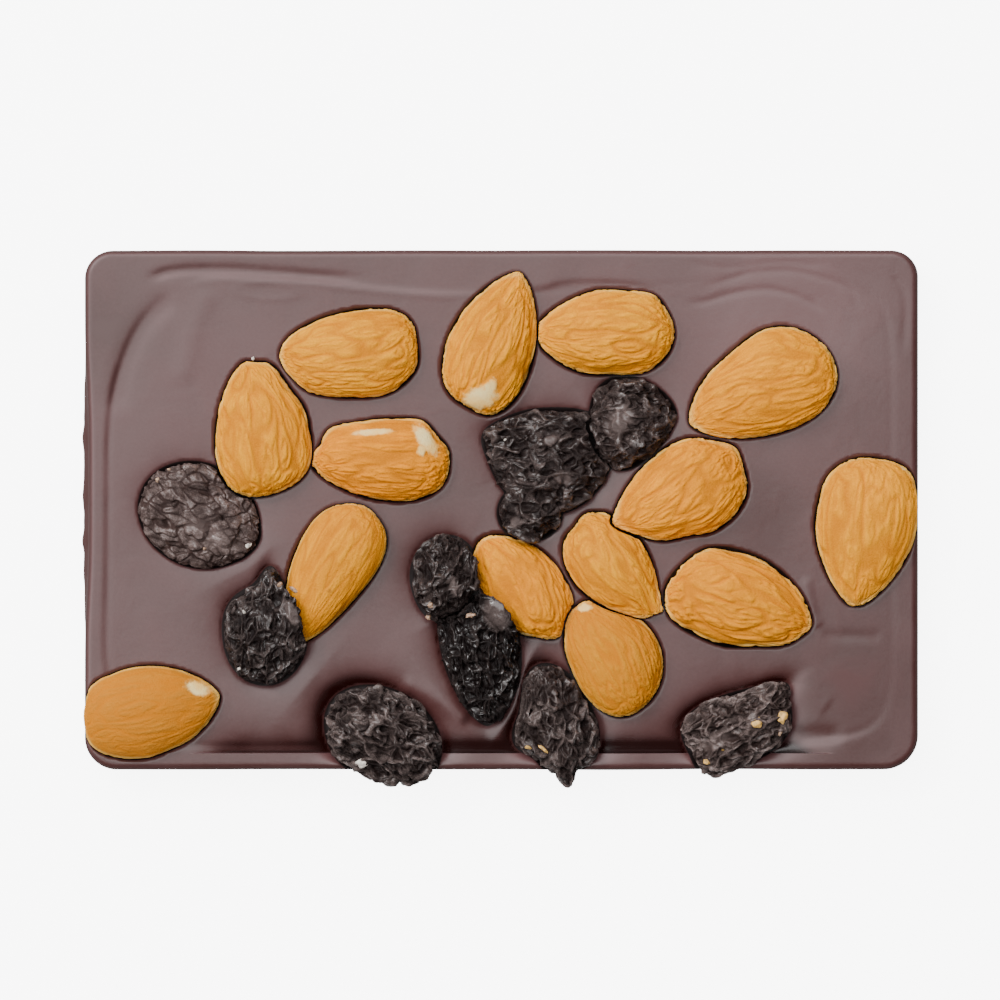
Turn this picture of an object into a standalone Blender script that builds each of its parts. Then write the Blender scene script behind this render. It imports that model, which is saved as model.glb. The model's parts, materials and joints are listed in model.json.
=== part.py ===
"""Chocolate bark: a cast slab of dark chocolate set with whole almonds and raisins.

The origin is the middle of the slab's flat underside, +X runs along its length and +Z is up.
Lengths below are in millimetres and angles in degrees; meshes are turned into metres when made.
"""

import math
from dataclasses import dataclass
from functools import lru_cache

import bmesh
import bpy
from mathutils import Matrix, Vector, noise

MM = 0.001

# Slab
SLAB_LENGTH = 130.0
SLAB_WIDTH = 81.0
SURFACE_LEVEL = 7.0
CORNER_RADII = {(1, 1): 4.2, (-1, 1): 4.4, (-1, -1): 5.0, (1, -1): 5.4}
EDGE_ROUNDING = 1.0
SHOULDER_LEVEL = 4.8
SHOULDER_INSET = 0.05
WALL_DRAFT = 0.7
FOOT_ROUNDING = 0.8
EDGE_WAVER = 0.12
EDGE_WAVER_LENGTH = 17.0
EDGE_WAVER_REACH = 8.0

# The left side bulges out a little round this point of its length
LEFT_BULGE = 0.45
LEFT_BULGE_Y = 3.0
LEFT_BULGE_REACH = 18.0
LEFT_BULGE_DEPTH = 6.0

# Rim round the top, and the groove along the front inside it
RIM_WIDTH = 3.5
RIM_HEIGHT = 0.35
RIM_SLOPE = 1.5
GROOVE_INSET = 4.5
GROOVE_DEPTH = 0.9
GROOVE_WIDTH = 1.1
GROOVE_START = -44.0
GROOVE_END = 51.0
GROOVE_FADE = 5.0

# Grid lines of the top: insets from the edge, then even cells
RIM_LINES = (0.35, 1.0, 2.2, 3.4, 4.5, 6.0, 8.5)
CELLS_ALONG = 16
CELLS_ACROSS = 10

# Almonds
DROP_ROUNDNESS = 0.15
ALMOND_HALF_THICKNESS = 3.8
ALMOND_CENTRE_LEVEL = 7.7
ALMOND_THICKNESS_TAPER = 0.8
ALMOND_GROOVE = 0.25
ALMOND_RIDGES = 8
ALMOND_MESH = (16, 10)

# Raisins
RAISIN_HALF_THICKNESS = 3.5
RAISIN_CENTRE_LEVEL = 7.9
RAISIN_BLUFFNESS = 0.85
RAISIN_FOLD = 1.5
RAISIN_FOLD_SIZE = 4.5
RAISIN_FOLD_SPREAD = 0.6
RAISIN_MESH = (20, 11)
RAISIN_MIN_THICKNESS = 2.6

# Clearances: between neighbours, over what a raisin rests on, and in the chocolate
NEIGHBOUR_GAP = 0.75
RESTING_GAP = 0.35
RESTING_SPREAD = 1.25
ALMOND_BED_GAP = 0.43
RAISIN_BED_GAP = 0.49
ALMOND_BED_MESH = (12, 9)
RAISIN_BED_MESH = (20, 7)
DIP_REACH = 2.5
SLIVER_SIZE = 0.03

SHARP_EDGE_ANGLE = 40.0
CHOCOLATE_COLOUR = (0.055, 0.024, 0.021, 1.0)
ALMOND_COLOUR = (0.68, 0.33, 0.09, 1.0)
RAISIN_COLOUR = (0.022, 0.014, 0.014, 1.0)


@dataclass(frozen=True)
class Topping:
    """A drop-shaped nut or fruit seen from above.

    heading is the way the narrow end points, from +X. taper narrows that end and bend curves the
    spine. Each lobe (angle, share, sharpness) swells the outline on one side, or flattens it with a
    share below 0. tip_rise and side_rise tilt the topping, and dip is how far the chocolate sinks
    towards it.
    """

    name: str
    x: float
    y: float
    length: float
    width: float
    heading: float
    taper: float = 0.0
    bend: float = 0.0
    level: float = ALMOND_CENTRE_LEVEL
    half_thickness: float = ALMOND_HALF_THICKNESS
    tip_rise: float = 0.0
    side_rise: float = 0.0
    lobes: tuple = ()
    rests_on: tuple = ()
    dip: float = 0.0


@dataclass(frozen=True)
class Swell:
    """A broad, low rise (or hollow) of the poured surface."""

    x: float
    y: float
    reach: float
    rise: float


def almond(number, x, y, length, width, heading, taper, bend, **more):
    return Topping(f"almond_{number:02d}", x, y, length, width, heading, taper, bend, **more)


def raisin(number, x, y, length, width, heading, **more):
    more.setdefault("level", RAISIN_CENTRE_LEVEL)
    more.setdefault("half_thickness", RAISIN_HALF_THICKNESS)
    return Topping(f"raisin_{number:02d}", x, y, length, width, heading, **more)


ALMONDS = (
    almond(1, -23.8, 25.0, 21.5, 13.3, 192, 0.09, -1.5, side_rise=0.03,
           lobes=((115, 0.17, 16), (49, 0.05, 30), (140, 0.15, 20))),
    almond(2, -38.2, 12.6, 21.2, 14.6, 95, 0.50, 1.4, tip_rise=-0.03,
           lobes=((-126, 0.12, 9), (-39, 0.16, 21), (-76, 0.08, 30))),
    almond(3, -19.0, 7.5, 21.7, 12.9, 177, 0.43, 0.9, side_rise=-0.04,
           lobes=((-52, 0.17, 30), (-122, 0.12, 30), (-155, 0.06, 30))),
    almond(4, -1.3, 25.6, 24.3, 13.8, 71, 0.40, -0.4, tip_rise=0.03,
           lobes=((173, -0.14, 6),)),
    almond(5, 16.0, 27.4, 21.9, 13.9, 180, 0.36, -0.2,
           lobes=((-131, 0.08, 26), (97, -0.10, 14), (-82, 0.04, 30))),
    almond(6, 40.3, 19.0, 24.6, 16.8, 204, 0.45, 1.2, side_rise=0.03,
           lobes=((-80, -0.17, 7),)),
    almond(7, 26.7, 2.4, 20.8, 15.0, 209, 0.63, -1.2, tip_rise=0.04,
           lobes=((84, -0.10, 30), (-174, 0.12, 30), (150, 0.18, 7))),
    almond(8, 56.4, -3.7, 23.8, 16.1, 264, 0.61, -0.3, tip_rise=0.02,
           lobes=((141, 0.10, 14), (-111, -0.04, 26), (2, -0.05, 30))),
    almond(9, 37.0, -14.6, 23.5, 14.5, -13, 0.28, -1.4,
           lobes=((121, 0.08, 18), (-92, 0.06, 30), (-49, 0.05, 30))),
    almond(10, 17.5, -8.8, 18.9, 12.3, -50, 0.43, 0.5, tip_rise=0.03,
           lobes=((-171, -0.07, 30), (20, 0.14, 30), (-26, 0.08, 30))),
    almond(11, 17.0, -23.0, 19.1, 14.2, 120, 0.22, 1.2, side_rise=0.03,
           lobes=((64, 0.02, 30), (-22, 0.06, 30), (-173, -0.02, 30))),
    almond(12, 3.3, -12.1, 19.7, 12.1, 132, 0.08, 0.2, tip_rise=-0.06,
           lobes=((-165, -0.10, 23), (144, -0.07, 30))),
    almond(13, -27.0, -9.9, 23.8, 11.4, 243, 0.33, 0.6, tip_rise=-0.06, side_rise=0.06,
           lobes=((116, 0.26, 8), (-126, 0.08, 12))),
    almond(14, -54.4, -31.1, 21.4, 14.3, 10, 0.37, 0.3, side_rise=0.02,
           lobes=((139, 0.06, 30), (-148, 0.09, 12), (-81, -0.04, 30))),
)

RAISINS = (
    raisin(1, -47.3, -0.8, 19.0, 15.6, -25, half_thickness=2.9, level=7.4, dip=0.3,
           lobes=((0, 0.08, 10), (95, 0.03, 3), (-95, 0.03, 3))),
    raisin(2, -36.8, -19.4, 15.7, 12.8, 88, taper=0.12, level=8.3, dip=0.5,
           lobes=((-3, 0.33, 24), (60, 0.12, 8), (-47, 0.08, 6)), rests_on=("almond_13",)),
    raisin(3, -18.6, -35.1, 19.0, 14.0, -30, dip=1.0,
           lobes=((-20, 0.07, 8), (60, 0.03, 3), (-110, 0.06, 9))),
    raisin(4, -8.8, -10.1, 12.3, 10.7, 84, level=8.6, dip=0.5,
           lobes=((165, 0.16, 8),), rests_on=("almond_12",)),
    raisin(5, -3.4, -22.8, 21.5, 12.0, -82, taper=0.45, bend=-0.6, level=8.2, dip=0.8,
           lobes=((59, 0.09, 6), (-140, 0.10, 8)), rests_on=("almond_12",)),
    raisin(6, 8.2, -32.6, 17.5, 10.4, -79, bend=-0.6, dip=0.9,
           lobes=((11, 0.21, 24), (-80, 0.42, 24), (63, 0.27, 8))),
    raisin(7, 20.6, 14.6, 13.2, 13.4, -5, taper=0.38, bend=1.3, dip=0.3,
           lobes=((-115, 0.18, 3),)),
    raisin(8, 7.6, 8.3, 19.2, 16.4, -4, bend=1.5, dip=0.4,
           lobes=((168, 0.14, 16), (58, 0.09, 10))),
    raisin(9, 36.6, -33.2, 17.1, 10.9, 23, taper=0.29, bend=1.6, dip=0.8,
           lobes=((-130, 0.32, 12), (27, 0.22, 10), (-50, 0.23, 8))),
)

# The eighth raisin has a second, smaller fold of flesh that leans on an almond
LOWER_LOBE = raisin(8, 4.3, -0.4, 9.8, 9.0, 0, level=8.2, half_thickness=2.9,
                    lobes=((-27, 0.06, 6),), rests_on=("almond_12",))

SWELLS = (
    Swell(-51.0, 22.0, 9.0, 0.22),
    Swell(-30.0, -28.0, 9.0, 0.12),
    Swell(-10.0, -27.0, 7.0, 0.15),
    Swell(52.0, 30.0, 8.0, -0.15),
    Swell(52.0, -25.0, 8.0, 0.12),
)


def lerp(low, high, share):
    return low + (high - low) * share


def smoothstep(low, high, value):
    share = min(max((value - low) / (high - low), 0.0), 1.0)
    return share * share * (3.0 - 2.0 * share)


def bell(distance, reach):
    return math.exp(-(distance / reach) ** 2)


# Outlines of the toppings


def drop_profile(t, taper):
    """Width of a drop along its spine, t running from 0 at the narrow end to pi at the other."""
    return math.sin(t) * (math.sin(t / 2.0) ** 2 + DROP_ROUNDNESS ** 2) ** (taper / 2.0)


@lru_cache(maxsize=None)
def drop_peak(taper):
    return max(drop_profile(math.radians(step), taper) for step in range(181))


def spine_width(topping, t):
    return topping.width / 2.0 * drop_profile(t, topping.taper) / drop_peak(topping.taper)


def spine_offset(topping, t):
    return topping.bend * (math.cos(t) ** 2 - 0.5)


def lobe_factor(topping, t):
    factor = 1.0
    for angle, share, sharpness in topping.lobes:
        factor += share * math.exp(sharpness * (math.cos(t - math.radians(angle)) - 1.0))
    return factor


def outline_point(topping, t):
    """The outline in the topping's own plane, counter-clockwise from its narrow end."""
    from_tip = abs(math.remainder(t, math.tau))
    side = math.copysign(1.0, math.sin(t))
    factor = lobe_factor(topping, t)
    along = topping.length / 2.0 * math.cos(t)
    aside = side * spine_width(topping, from_tip) + spine_offset(topping, from_tip)
    return along * factor, aside * factor


def to_local(topping, x, y):
    turn = math.radians(topping.heading)
    dx, dy = x - topping.x, y - topping.y
    return dx * math.cos(turn) + dy * math.sin(turn), dy * math.cos(turn) - dx * math.sin(turn)


def to_slab(topping, along, aside):
    turn = math.radians(topping.heading)
    x = topping.x + along * math.cos(turn) - aside * math.sin(turn)
    y = topping.y + along * math.sin(turn) + aside * math.cos(turn)
    return x, y


@lru_cache(maxsize=None)
def polar_outline(topping):
    """Distance from the centre to the outline, for each whole degree."""
    samples = []
    for half_degree in range(720):
        along, aside = outline_point(topping, math.radians(half_degree / 2.0))
        samples.append((math.degrees(math.atan2(aside, along)), math.hypot(along, aside)))
    radii = []
    for degree in range(360):
        nearest = min(samples, key=lambda sample: abs(math.remainder(sample[0] - degree, 360.0)))
        radii.append(nearest[1])
    return radii


def reach_toward(topping, x, y):
    """Distance of (x, y) from the topping's centre, and the outline's distance that way."""
    along, aside = to_local(topping, x, y)
    angle = math.degrees(math.atan2(aside, along)) % 360.0
    radii = polar_outline(topping)
    below = int(angle) % 360
    radius = lerp(radii[below], radii[(below + 1) % 360], angle - int(angle))
    return math.hypot(along, aside), radius


# How the toppings lie against each other


def tilt_height(topping, along, aside):
    return topping.tip_rise * along + topping.side_rise * aside


def step_aside(x, y, neighbours):
    """Moves a point straight out of the outlines of the toppings beside it."""
    for other in neighbours:
        distance, radius = reach_toward(other, x, y)
        limit = radius + NEIGHBOUR_GAP
        if 0.0 < distance < limit:
            x = other.x + (x - other.x) * limit / distance
            y = other.y + (y - other.y) * limit / distance
    return x, y


def lift_over(topping, x, y, z, level_share):
    """Raises a raisin's point over the almond it leans on, leaving the raisin some thickness."""
    for almond_below in ALMONDS:
        distance, radius = reach_toward(almond_below, x, y)
        share = distance / (radius * RESTING_SPREAD)
        if almond_below.name in topping.rests_on and share < 1.0:
            dome = almond_below.half_thickness * math.sqrt(1.0 - share * share)
            tilt = tilt_height(almond_below, *to_local(almond_below, x, y))
            cover = almond_below.level + tilt + dome + RESTING_GAP
            z = max(z, cover + RAISIN_MIN_THICKNESS * (level_share + 1.0) / 2.0)
    return z


# Skins of the toppings


def almond_vertex(topping, direction, swell):
    """Maps a direction of the unit sphere, its poles on X, to the almond's ridged skin."""
    t = math.acos(min(max(direction.x, -1.0), 1.0))
    around = math.atan2(direction.z, direction.y)
    groove = 0.0
    if swell == 0.0:
        groove = ALMOND_GROOVE * (1.0 - math.cos(ALMOND_RIDGES * around)) / 2.0
    outwards = (swell - groove) * math.sin(t)
    thickness_taper = ALMOND_THICKNESS_TAPER * topping.taper
    thickness = drop_profile(t, thickness_taper) / drop_peak(thickness_taper)
    width = spine_width(topping, t) + outwards
    height = topping.half_thickness * thickness + outwards
    left_share = (1.0 + math.cos(around)) / 2.0
    factor = lerp(lobe_factor(topping, -t), lobe_factor(topping, t), left_share)
    along = factor * (topping.length / 2.0 + swell) * math.cos(t)
    aside = factor * (width * math.cos(around) + spine_offset(topping, t))
    x, y = to_slab(topping, along, aside)
    return x, y, topping.level + tilt_height(topping, along, aside) + height * math.sin(around)


def fold_depth(topping, along, aside, height):
    """How far the raisin's dried skin has sunk in at a point."""
    place = Vector((along, aside, height)) / RAISIN_FOLD_SIZE + Vector((topping.x, topping.y, 0.0))
    crease = abs(noise.noise(place)) + 0.5 * abs(noise.noise(place * 2.1))
    return RAISIN_FOLD * max(0.0, RAISIN_FOLD_SPREAD - 1.5 * crease)


def raisin_vertex(topping, direction, swell):
    """Maps a direction of the unit sphere, its poles on Z, to the raisin's folded skin."""
    t = math.atan2(direction.y, direction.x)
    level_share = min(max(direction.z, -1.0), 1.0)
    plan_share = math.sqrt(1.0 - level_share * level_share) ** RAISIN_BLUFFNESS
    along, aside = outline_point(topping, t)
    size = math.hypot(along, aside)
    grow = (size + swell) / size
    along, aside = along * grow * plan_share, aside * grow * plan_share
    height = (topping.half_thickness + swell) * level_share
    if swell == 0.0:
        depth = fold_depth(topping, along, aside, height)
        height -= depth * level_share
        along -= 0.5 * depth * along / size
        aside -= 0.5 * depth * aside / size
    x, y = to_slab(topping, along, aside)
    return x, y, topping.level + tilt_height(topping, along, aside) + height


# Blender data


def new_collection(name):
    collection = bpy.data.collections.new(name)
    bpy.context.scene.collection.children.link(collection)
    return collection


def new_material(name, colour, roughness):
    material = bpy.data.materials.new(name)
    material.use_nodes = True
    shader = material.node_tree.nodes["Principled BSDF"]
    shader.inputs["Base Color"].default_value = colour
    shader.inputs["Roughness"].default_value = roughness
    shader.inputs["Metallic"].default_value = 0.0
    return material


def new_sphere(segments, rings, poles_on_x):
    mesh = bmesh.new()
    turn = Matrix.Rotation(math.radians(90.0), 4, "Y") if poles_on_x else Matrix.Identity(4)
    bmesh.ops.create_uvsphere(mesh, u_segments=segments, v_segments=rings, radius=1.0, matrix=turn)
    return mesh


def mesh_object(name, mesh, material, collection):
    """Turns a mesh in millimetres into a smooth-shaded object in metres."""
    mesh.normal_update()
    bmesh.ops.recalc_face_normals(mesh, faces=mesh.faces[:])
    bmesh.ops.scale(mesh, vec=(MM, MM, MM), verts=mesh.verts[:])
    data = bpy.data.meshes.new(name)
    mesh.to_mesh(data)
    mesh.free()
    if material:
        data.materials.append(material)
    data.shade_smooth()
    data.set_sharp_from_angle(angle=math.radians(SHARP_EDGE_ANGLE))
    result = bpy.data.objects.new(name, data)
    collection.objects.link(result)
    return result


def build_almond(topping, earlier, material, collection):
    mesh = new_sphere(*ALMOND_MESH, poles_on_x=True)
    for vertex in mesh.verts:
        x, y, z = almond_vertex(topping, vertex.co, 0.0)
        x, y = step_aside(x, y, earlier)
        vertex.co = (x, y, z)
    return mesh_object(topping.name, mesh, material, collection)


def build_raisin(topping, earlier, material, collection):
    """A raisin that lies beside the earlier toppings and drapes over what it rests on."""
    beside = [other for other in earlier if other.name not in topping.rests_on]
    mesh = new_sphere(*RAISIN_MESH, poles_on_x=False)
    for vertex in mesh.verts:
        level_share = vertex.co.z
        x, y, z = raisin_vertex(topping, vertex.co, 0.0)
        x, y = step_aside(x, y, beside)
        vertex.co = (x, y, lift_over(topping, x, y, z, level_share))
    return mesh_object(topping.name, mesh, material, collection)


def join_by_union(target, extra):
    """Boolean union of two closed meshes, applied, with the second object removed."""
    union = target.modifiers.new("join", "BOOLEAN")
    union.operation = "UNION"
    union.solver = "EXACT"
    union.object = extra
    depsgraph = bpy.context.evaluated_depsgraph_get()
    joined = bpy.data.meshes.new_from_object(target.evaluated_get(depsgraph))
    cleaned = bmesh.new()
    cleaned.from_mesh(joined)
    bmesh.ops.remove_doubles(cleaned, verts=cleaned.verts[:], dist=SLIVER_SIZE * MM)
    cleaned.to_mesh(joined)
    cleaned.free()
    target.modifiers.clear()
    target.data = joined
    bpy.data.objects.remove(extra)


def bed_cutter(topping, collection):
    """A plain, slightly larger copy of a topping that presses its bed into the chocolate."""
    is_almond = topping in ALMONDS
    segments, rings = ALMOND_BED_MESH if is_almond else RAISIN_BED_MESH
    skin = almond_vertex if is_almond else raisin_vertex
    gap = ALMOND_BED_GAP if is_almond else RAISIN_BED_GAP
    facet_allowance = topping.width / 2.0 * (1.0 / math.cos(math.pi / segments) - 1.0)
    mesh = new_sphere(segments, rings, poles_on_x=is_almond)
    for vertex in mesh.verts:
        vertex.co = skin(topping, vertex.co, gap + facet_allowance)
    cutter = mesh_object(f"bed_{topping.name}", mesh, None, collection)
    cutter.hide_render = True
    cutter.display_type = "WIRE"


# Slab


def corner_of(x, y):
    """Signs of the quarter that (x, y) lies in, its corner's radius, and how far past the arc's
    centre the point lies each way."""
    signs = (1 if x >= 0.0 else -1, 1 if y >= 0.0 else -1)
    radius = CORNER_RADII[signs]
    over_x = abs(x) - (SLAB_LENGTH / 2.0 - radius)
    over_y = abs(y) - (SLAB_WIDTH / 2.0 - radius)
    return signs, radius, over_x, over_y


def edge_distance(x, y):
    """How far inside the slab's plain rounded rectangle a point lies."""
    _, radius, over_x, over_y = corner_of(x, y)
    outside = math.hypot(max(over_x, 0.0), max(over_y, 0.0))
    return radius - outside - min(max(over_x, over_y), 0.0)


def outward(x, y):
    """Direction straight out of the edge nearest to (x, y)."""
    signs, _, over_x, over_y = corner_of(x, y)
    if over_x > 0.0 and over_y > 0.0:
        size = math.hypot(over_x, over_y)
        return signs[0] * over_x / size, signs[1] * over_y / size
    if over_x > over_y:
        return signs[0], 0.0
    return 0.0, signs[1]


def round_corner(x, y):
    """Bends the square corner of the grid to the slab's corner arc."""
    signs, radius, over_x, over_y = corner_of(x, y)
    if over_x <= 0.0 or over_y <= 0.0:
        return x, y
    bent_x = over_x * math.sqrt(1.0 - (over_y / radius) ** 2 / 2.0)
    bent_y = over_y * math.sqrt(1.0 - (over_x / radius) ** 2 / 2.0)
    return x + signs[0] * (bent_x - over_x), y + signs[1] * (bent_y - over_y)


def topping_dip(x, y):
    """How far the chocolate sinks towards the raisins that were pressed into it."""
    depth = 0.0
    for topping in RAISINS:
        distance, radius = reach_toward(topping, x, y)
        depth = max(depth, topping.dip * bell(max(distance - radius, 0.0), DIP_REACH))
    return depth


def front_groove(x, y):
    start = smoothstep(GROOVE_START - GROOVE_FADE, GROOVE_START + GROOVE_FADE, x)
    end = smoothstep(GROOVE_END + GROOVE_FADE, GROOVE_END - GROOVE_FADE, x)
    from_line = y + SLAB_WIDTH / 2.0 - GROOVE_INSET
    return GROOVE_DEPTH * start * end * bell(from_line, GROOVE_WIDTH)


def top_height(x, y):
    """Height of the poured surface, with its rim, front groove, swells and dips."""
    inset = edge_distance(x, y)
    height = SURFACE_LEVEL
    height += RIM_HEIGHT * smoothstep(RIM_WIDTH + RIM_SLOPE / 2.0, RIM_WIDTH - RIM_SLOPE / 2.0, inset)
    height -= front_groove(x, y)
    for swell in SWELLS:
        height += swell.rise * bell(math.hypot(x - swell.x, y - swell.y), swell.reach)
    height -= topping_dip(x, y) * smoothstep(EDGE_ROUNDING / 2.0, 3.0 * EDGE_ROUNDING, inset)
    short_of_top = max(EDGE_ROUNDING - max(inset, 0.0), 0.0)
    return height - EDGE_ROUNDING + math.sqrt(EDGE_ROUNDING ** 2 - short_of_top ** 2)


def edge_shift(x, y):
    """Small unevenness of the slab's outline; the left side bulges out."""
    bulge = LEFT_BULGE * math.exp(-((y - LEFT_BULGE_Y) / LEFT_BULGE_REACH) ** 4)
    near_left = smoothstep(-SLAB_LENGTH / 2.0 + LEFT_BULGE_DEPTH, -SLAB_LENGTH / 2.0, x)
    waver = noise.noise(Vector((x / EDGE_WAVER_LENGTH, y / EDGE_WAVER_LENGTH, 3.0)))
    near_edge = smoothstep(EDGE_WAVER_REACH, 0.0, edge_distance(x, y))
    return -bulge * near_left, EDGE_WAVER * waver * near_edge


def grid_lines(half_size, cells):
    """Grid lines across the slab: close together at both edges, even between them."""
    even = half_size - RIM_LINES[-1]
    low_rim = [-half_size] + [inset - half_size for inset in RIM_LINES[:-1]]
    middle = [lerp(-even, even, step / cells) for step in range(cells + 1)]
    high_rim = [-line for line in reversed(low_rim)]
    return low_rim + middle + high_rim


def loft_walls(mesh):
    """Carries the slab's edge down a drafted wall and round its foot to a flat underside."""
    levels = (
        (SHOULDER_LEVEL, SHOULDER_INSET),
        (FOOT_ROUNDING, WALL_DRAFT),
        (0.25 * FOOT_ROUNDING, WALL_DRAFT + 0.35 * FOOT_ROUNDING),
        (0.0, WALL_DRAFT + FOOT_ROUNDING),
    )
    edges = [edge for edge in mesh.edges if edge.is_boundary]
    reached = 0.0
    for height, inset in levels:
        grown = bmesh.ops.extrude_edge_only(mesh, edges=edges)["geom"]
        edges = [item for item in grown if isinstance(item, bmesh.types.BMEdge)]
        for vertex in (item for item in grown if isinstance(item, bmesh.types.BMVert)):
            out_x, out_y = outward(vertex.co.x, vertex.co.y)
            step = inset - reached
            vertex.co = (vertex.co.x - out_x * step, vertex.co.y - out_y * step, height)
        reached = inset
    edges = [edge for edge in mesh.edges if edge.is_boundary]
    bmesh.ops.contextual_create(mesh, geom=edges)


def build_slab(material, collection):
    columns = grid_lines(SLAB_LENGTH / 2.0, CELLS_ALONG)
    rows = grid_lines(SLAB_WIDTH / 2.0, CELLS_ACROSS)
    last_column, last_row = len(columns) - 1, len(rows) - 1
    mesh = bmesh.new()
    bmesh.ops.create_grid(mesh, x_segments=last_column, y_segments=last_row, size=1.0)
    for vertex in mesh.verts:
        column = round((vertex.co.x + 1.0) / 2.0 * last_column)
        row = round((vertex.co.y + 1.0) / 2.0 * last_row)
        x, y = round_corner(columns[column], rows[row])
        shift_x, shift_y = edge_shift(x, y)
        vertex.co = (x + shift_x, y + shift_y, top_height(x, y))
    loft_walls(mesh)
    return mesh_object("slab", mesh, material, collection)


def press_beds(slab, cutters):
    """Cuts every topping's bed out of the slab and closes hair-thin slivers."""
    beds = slab.modifiers.new("topping_beds", "BOOLEAN")
    beds.operation = "DIFFERENCE"
    beds.solver = "EXACT"
    beds.operand_type = "COLLECTION"
    beds.collection = cutters
    weld = slab.modifiers.new("close_slivers", "WELD")
    weld.merge_threshold = SLIVER_SIZE * MM


def main():
    for leftover in list(bpy.data.objects):
        bpy.data.objects.remove(leftover)

    parts = new_collection("chocolate_bark")
    cutters = new_collection("beds")
    chocolate = new_material("dark_chocolate", CHOCOLATE_COLOUR, 0.35)
    almond_skin = new_material("almond_skin", ALMOND_COLOUR, 0.55)
    raisin_skin = new_material("raisin_skin", RAISIN_COLOUR, 0.45)

    slab = build_slab(chocolate, parts)
    for topping in ALMONDS + RAISINS + (LOWER_LOBE,):
        bed_cutter(topping, cutters)
    press_beds(slab, cutters)

    earlier = []
    for topping in ALMONDS:
        build_almond(topping, earlier, almond_skin, parts)
        earlier.append(topping)
    for topping in RAISINS:
        body = build_raisin(topping, earlier, raisin_skin, parts)
        if topping.name == LOWER_LOBE.name:
            join_by_union(body, build_raisin(LOWER_LOBE, earlier, raisin_skin, parts))
        earlier.append(topping)


main()
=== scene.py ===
"""Dresses the chocolate bark: glossy dark chocolate, ridged almonds and wrinkled raisins.

Shapes are worked out in millimetres and turned into metres when a mesh is made. +X runs along the
slab and +Z is up.
"""

import json
import math
from dataclasses import dataclass

import bmesh
import bpy
import numpy as np
from mathutils import Matrix, Vector, noise

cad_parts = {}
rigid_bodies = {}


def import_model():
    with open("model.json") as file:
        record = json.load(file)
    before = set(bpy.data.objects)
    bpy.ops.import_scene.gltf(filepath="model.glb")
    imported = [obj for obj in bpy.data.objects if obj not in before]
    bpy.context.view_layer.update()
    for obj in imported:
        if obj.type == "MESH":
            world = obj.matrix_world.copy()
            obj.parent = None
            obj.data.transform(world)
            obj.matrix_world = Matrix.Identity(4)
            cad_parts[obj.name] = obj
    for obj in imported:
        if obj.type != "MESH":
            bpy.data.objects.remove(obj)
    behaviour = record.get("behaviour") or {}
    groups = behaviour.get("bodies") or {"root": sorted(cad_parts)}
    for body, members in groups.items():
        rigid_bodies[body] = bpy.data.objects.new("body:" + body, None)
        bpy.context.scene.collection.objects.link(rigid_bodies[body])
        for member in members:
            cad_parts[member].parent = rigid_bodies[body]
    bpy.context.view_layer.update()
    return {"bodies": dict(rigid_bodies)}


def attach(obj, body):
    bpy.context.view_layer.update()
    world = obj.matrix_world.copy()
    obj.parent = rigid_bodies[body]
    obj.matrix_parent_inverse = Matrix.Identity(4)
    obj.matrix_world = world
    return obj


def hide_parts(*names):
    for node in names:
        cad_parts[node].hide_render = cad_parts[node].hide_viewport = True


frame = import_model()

bl_info = {
    "name": "Chocolate bark",
    "version": (1, 0, 0),
    "blender": (4, 5, 0),
    "location": "View3D > Sidebar > Bark",
    "description": "Builds a slab of dark chocolate set with whole almonds and raisins",
    "category": "Object",
}

MM = 0.001
BODY = next(iter(frame["bodies"]))

# Slab: edge, rim and walls
SLAB_LENGTH = 130.0
SLAB_WIDTH = 81.0
CORNER_RADII = {(1, 1): 4.2, (-1, 1): 4.4, (-1, -1): 5.0, (1, -1): 5.4}
EDGE_ROUNDING = 1.0
WALL_TOP_LEVEL = 6.1
WALL_LEVELS = ((5.7, 0.0), (5.3, 0.0), (4.8, 0.05), (4.0, 0.16), (3.2, 0.32), (2.0, 0.5),
               (0.8, 0.7), (0.45, 0.8), (0.2, 0.98), (0.0, 1.5))
EDGE_WAVER = 0.12
EDGE_WAVER_LENGTH = 17.0
EDGE_WAVER_REACH = 8.0
LEFT_BULGE_Y = 3.0
LEFT_BULGE_REACH = 18.0
LEFT_BULGE_DEPTH = 6.0
LEFT_RIM_RETREAT = -0.6
LEFT_LEDGE = 1.1
LEDGE_LEVEL = 3.9
LEDGE_REACH = 1.6
LEDGE_RAGGEDNESS = 0.4
LEDGE_RAG_LENGTH = 2.6
EDGE_STEPS = (0.0, 0.08, 0.18, 0.32, 0.5, 0.72, 1.0, 1.3)

# Slab: poured surface
RIM_SLOPE = 1.3
WELL_FURROW = 0.07
WELL_FURROW_WIDTH = 0.5
DIP_REACH = 1.9
CONTACT_DIP = 0.12
CONTACT_GAPS = (0.30, -0.1)
SURFACE_UNEVENNESS = 0.02
SURFACE_UNEVENNESS_LENGTH = 7.0
RING_WIDTH = 0.35
LINE_FADE = 0.15
GROOVE_INSET = 2.6
GROOVE_RISE = 0.03
GROOVE_SLOPE = 2.2
GROOVE_SPAN = (-44.0, 47.0)
GROOVE_FADE = 5.0
GROOVE_STEP = (-0.05, 0.01)
GROOVE_STEP_CLEARANCE = 0.15

# Where shade is painted on the chocolate as a darker colour, on slopes turned from the large light and
# in the front groove, and how hazy it is, with light painted as more haze on slopes turned to the light
TOWARDS_LIGHT = (-0.68, 0.73)
SHADED_SLOPES = (0.08, 0.34)
LIT_SLOPES = (0.04, 0.16)
PAINTED_LIGHT_HAZE = 0.5
PLAIN_HAZE = 0.14
PAINTED_SHADE_GROOVE_DEPTHS = (0.15, 0.5)
PAINTED_SHADE_GROOVE_X = (-30.0, -5.0)
PAINTED_SHADE_GROOVE_SHARES = (0.5, 1.0)
PAINTED_SHADE_GAPS = (0.2, 0.5)
PAINTED_SHADE_INSETS = (0.6, 1.6)
WALL_FADE = 0.9
FAR_FROM_TOPPINGS = 9.0

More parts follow.
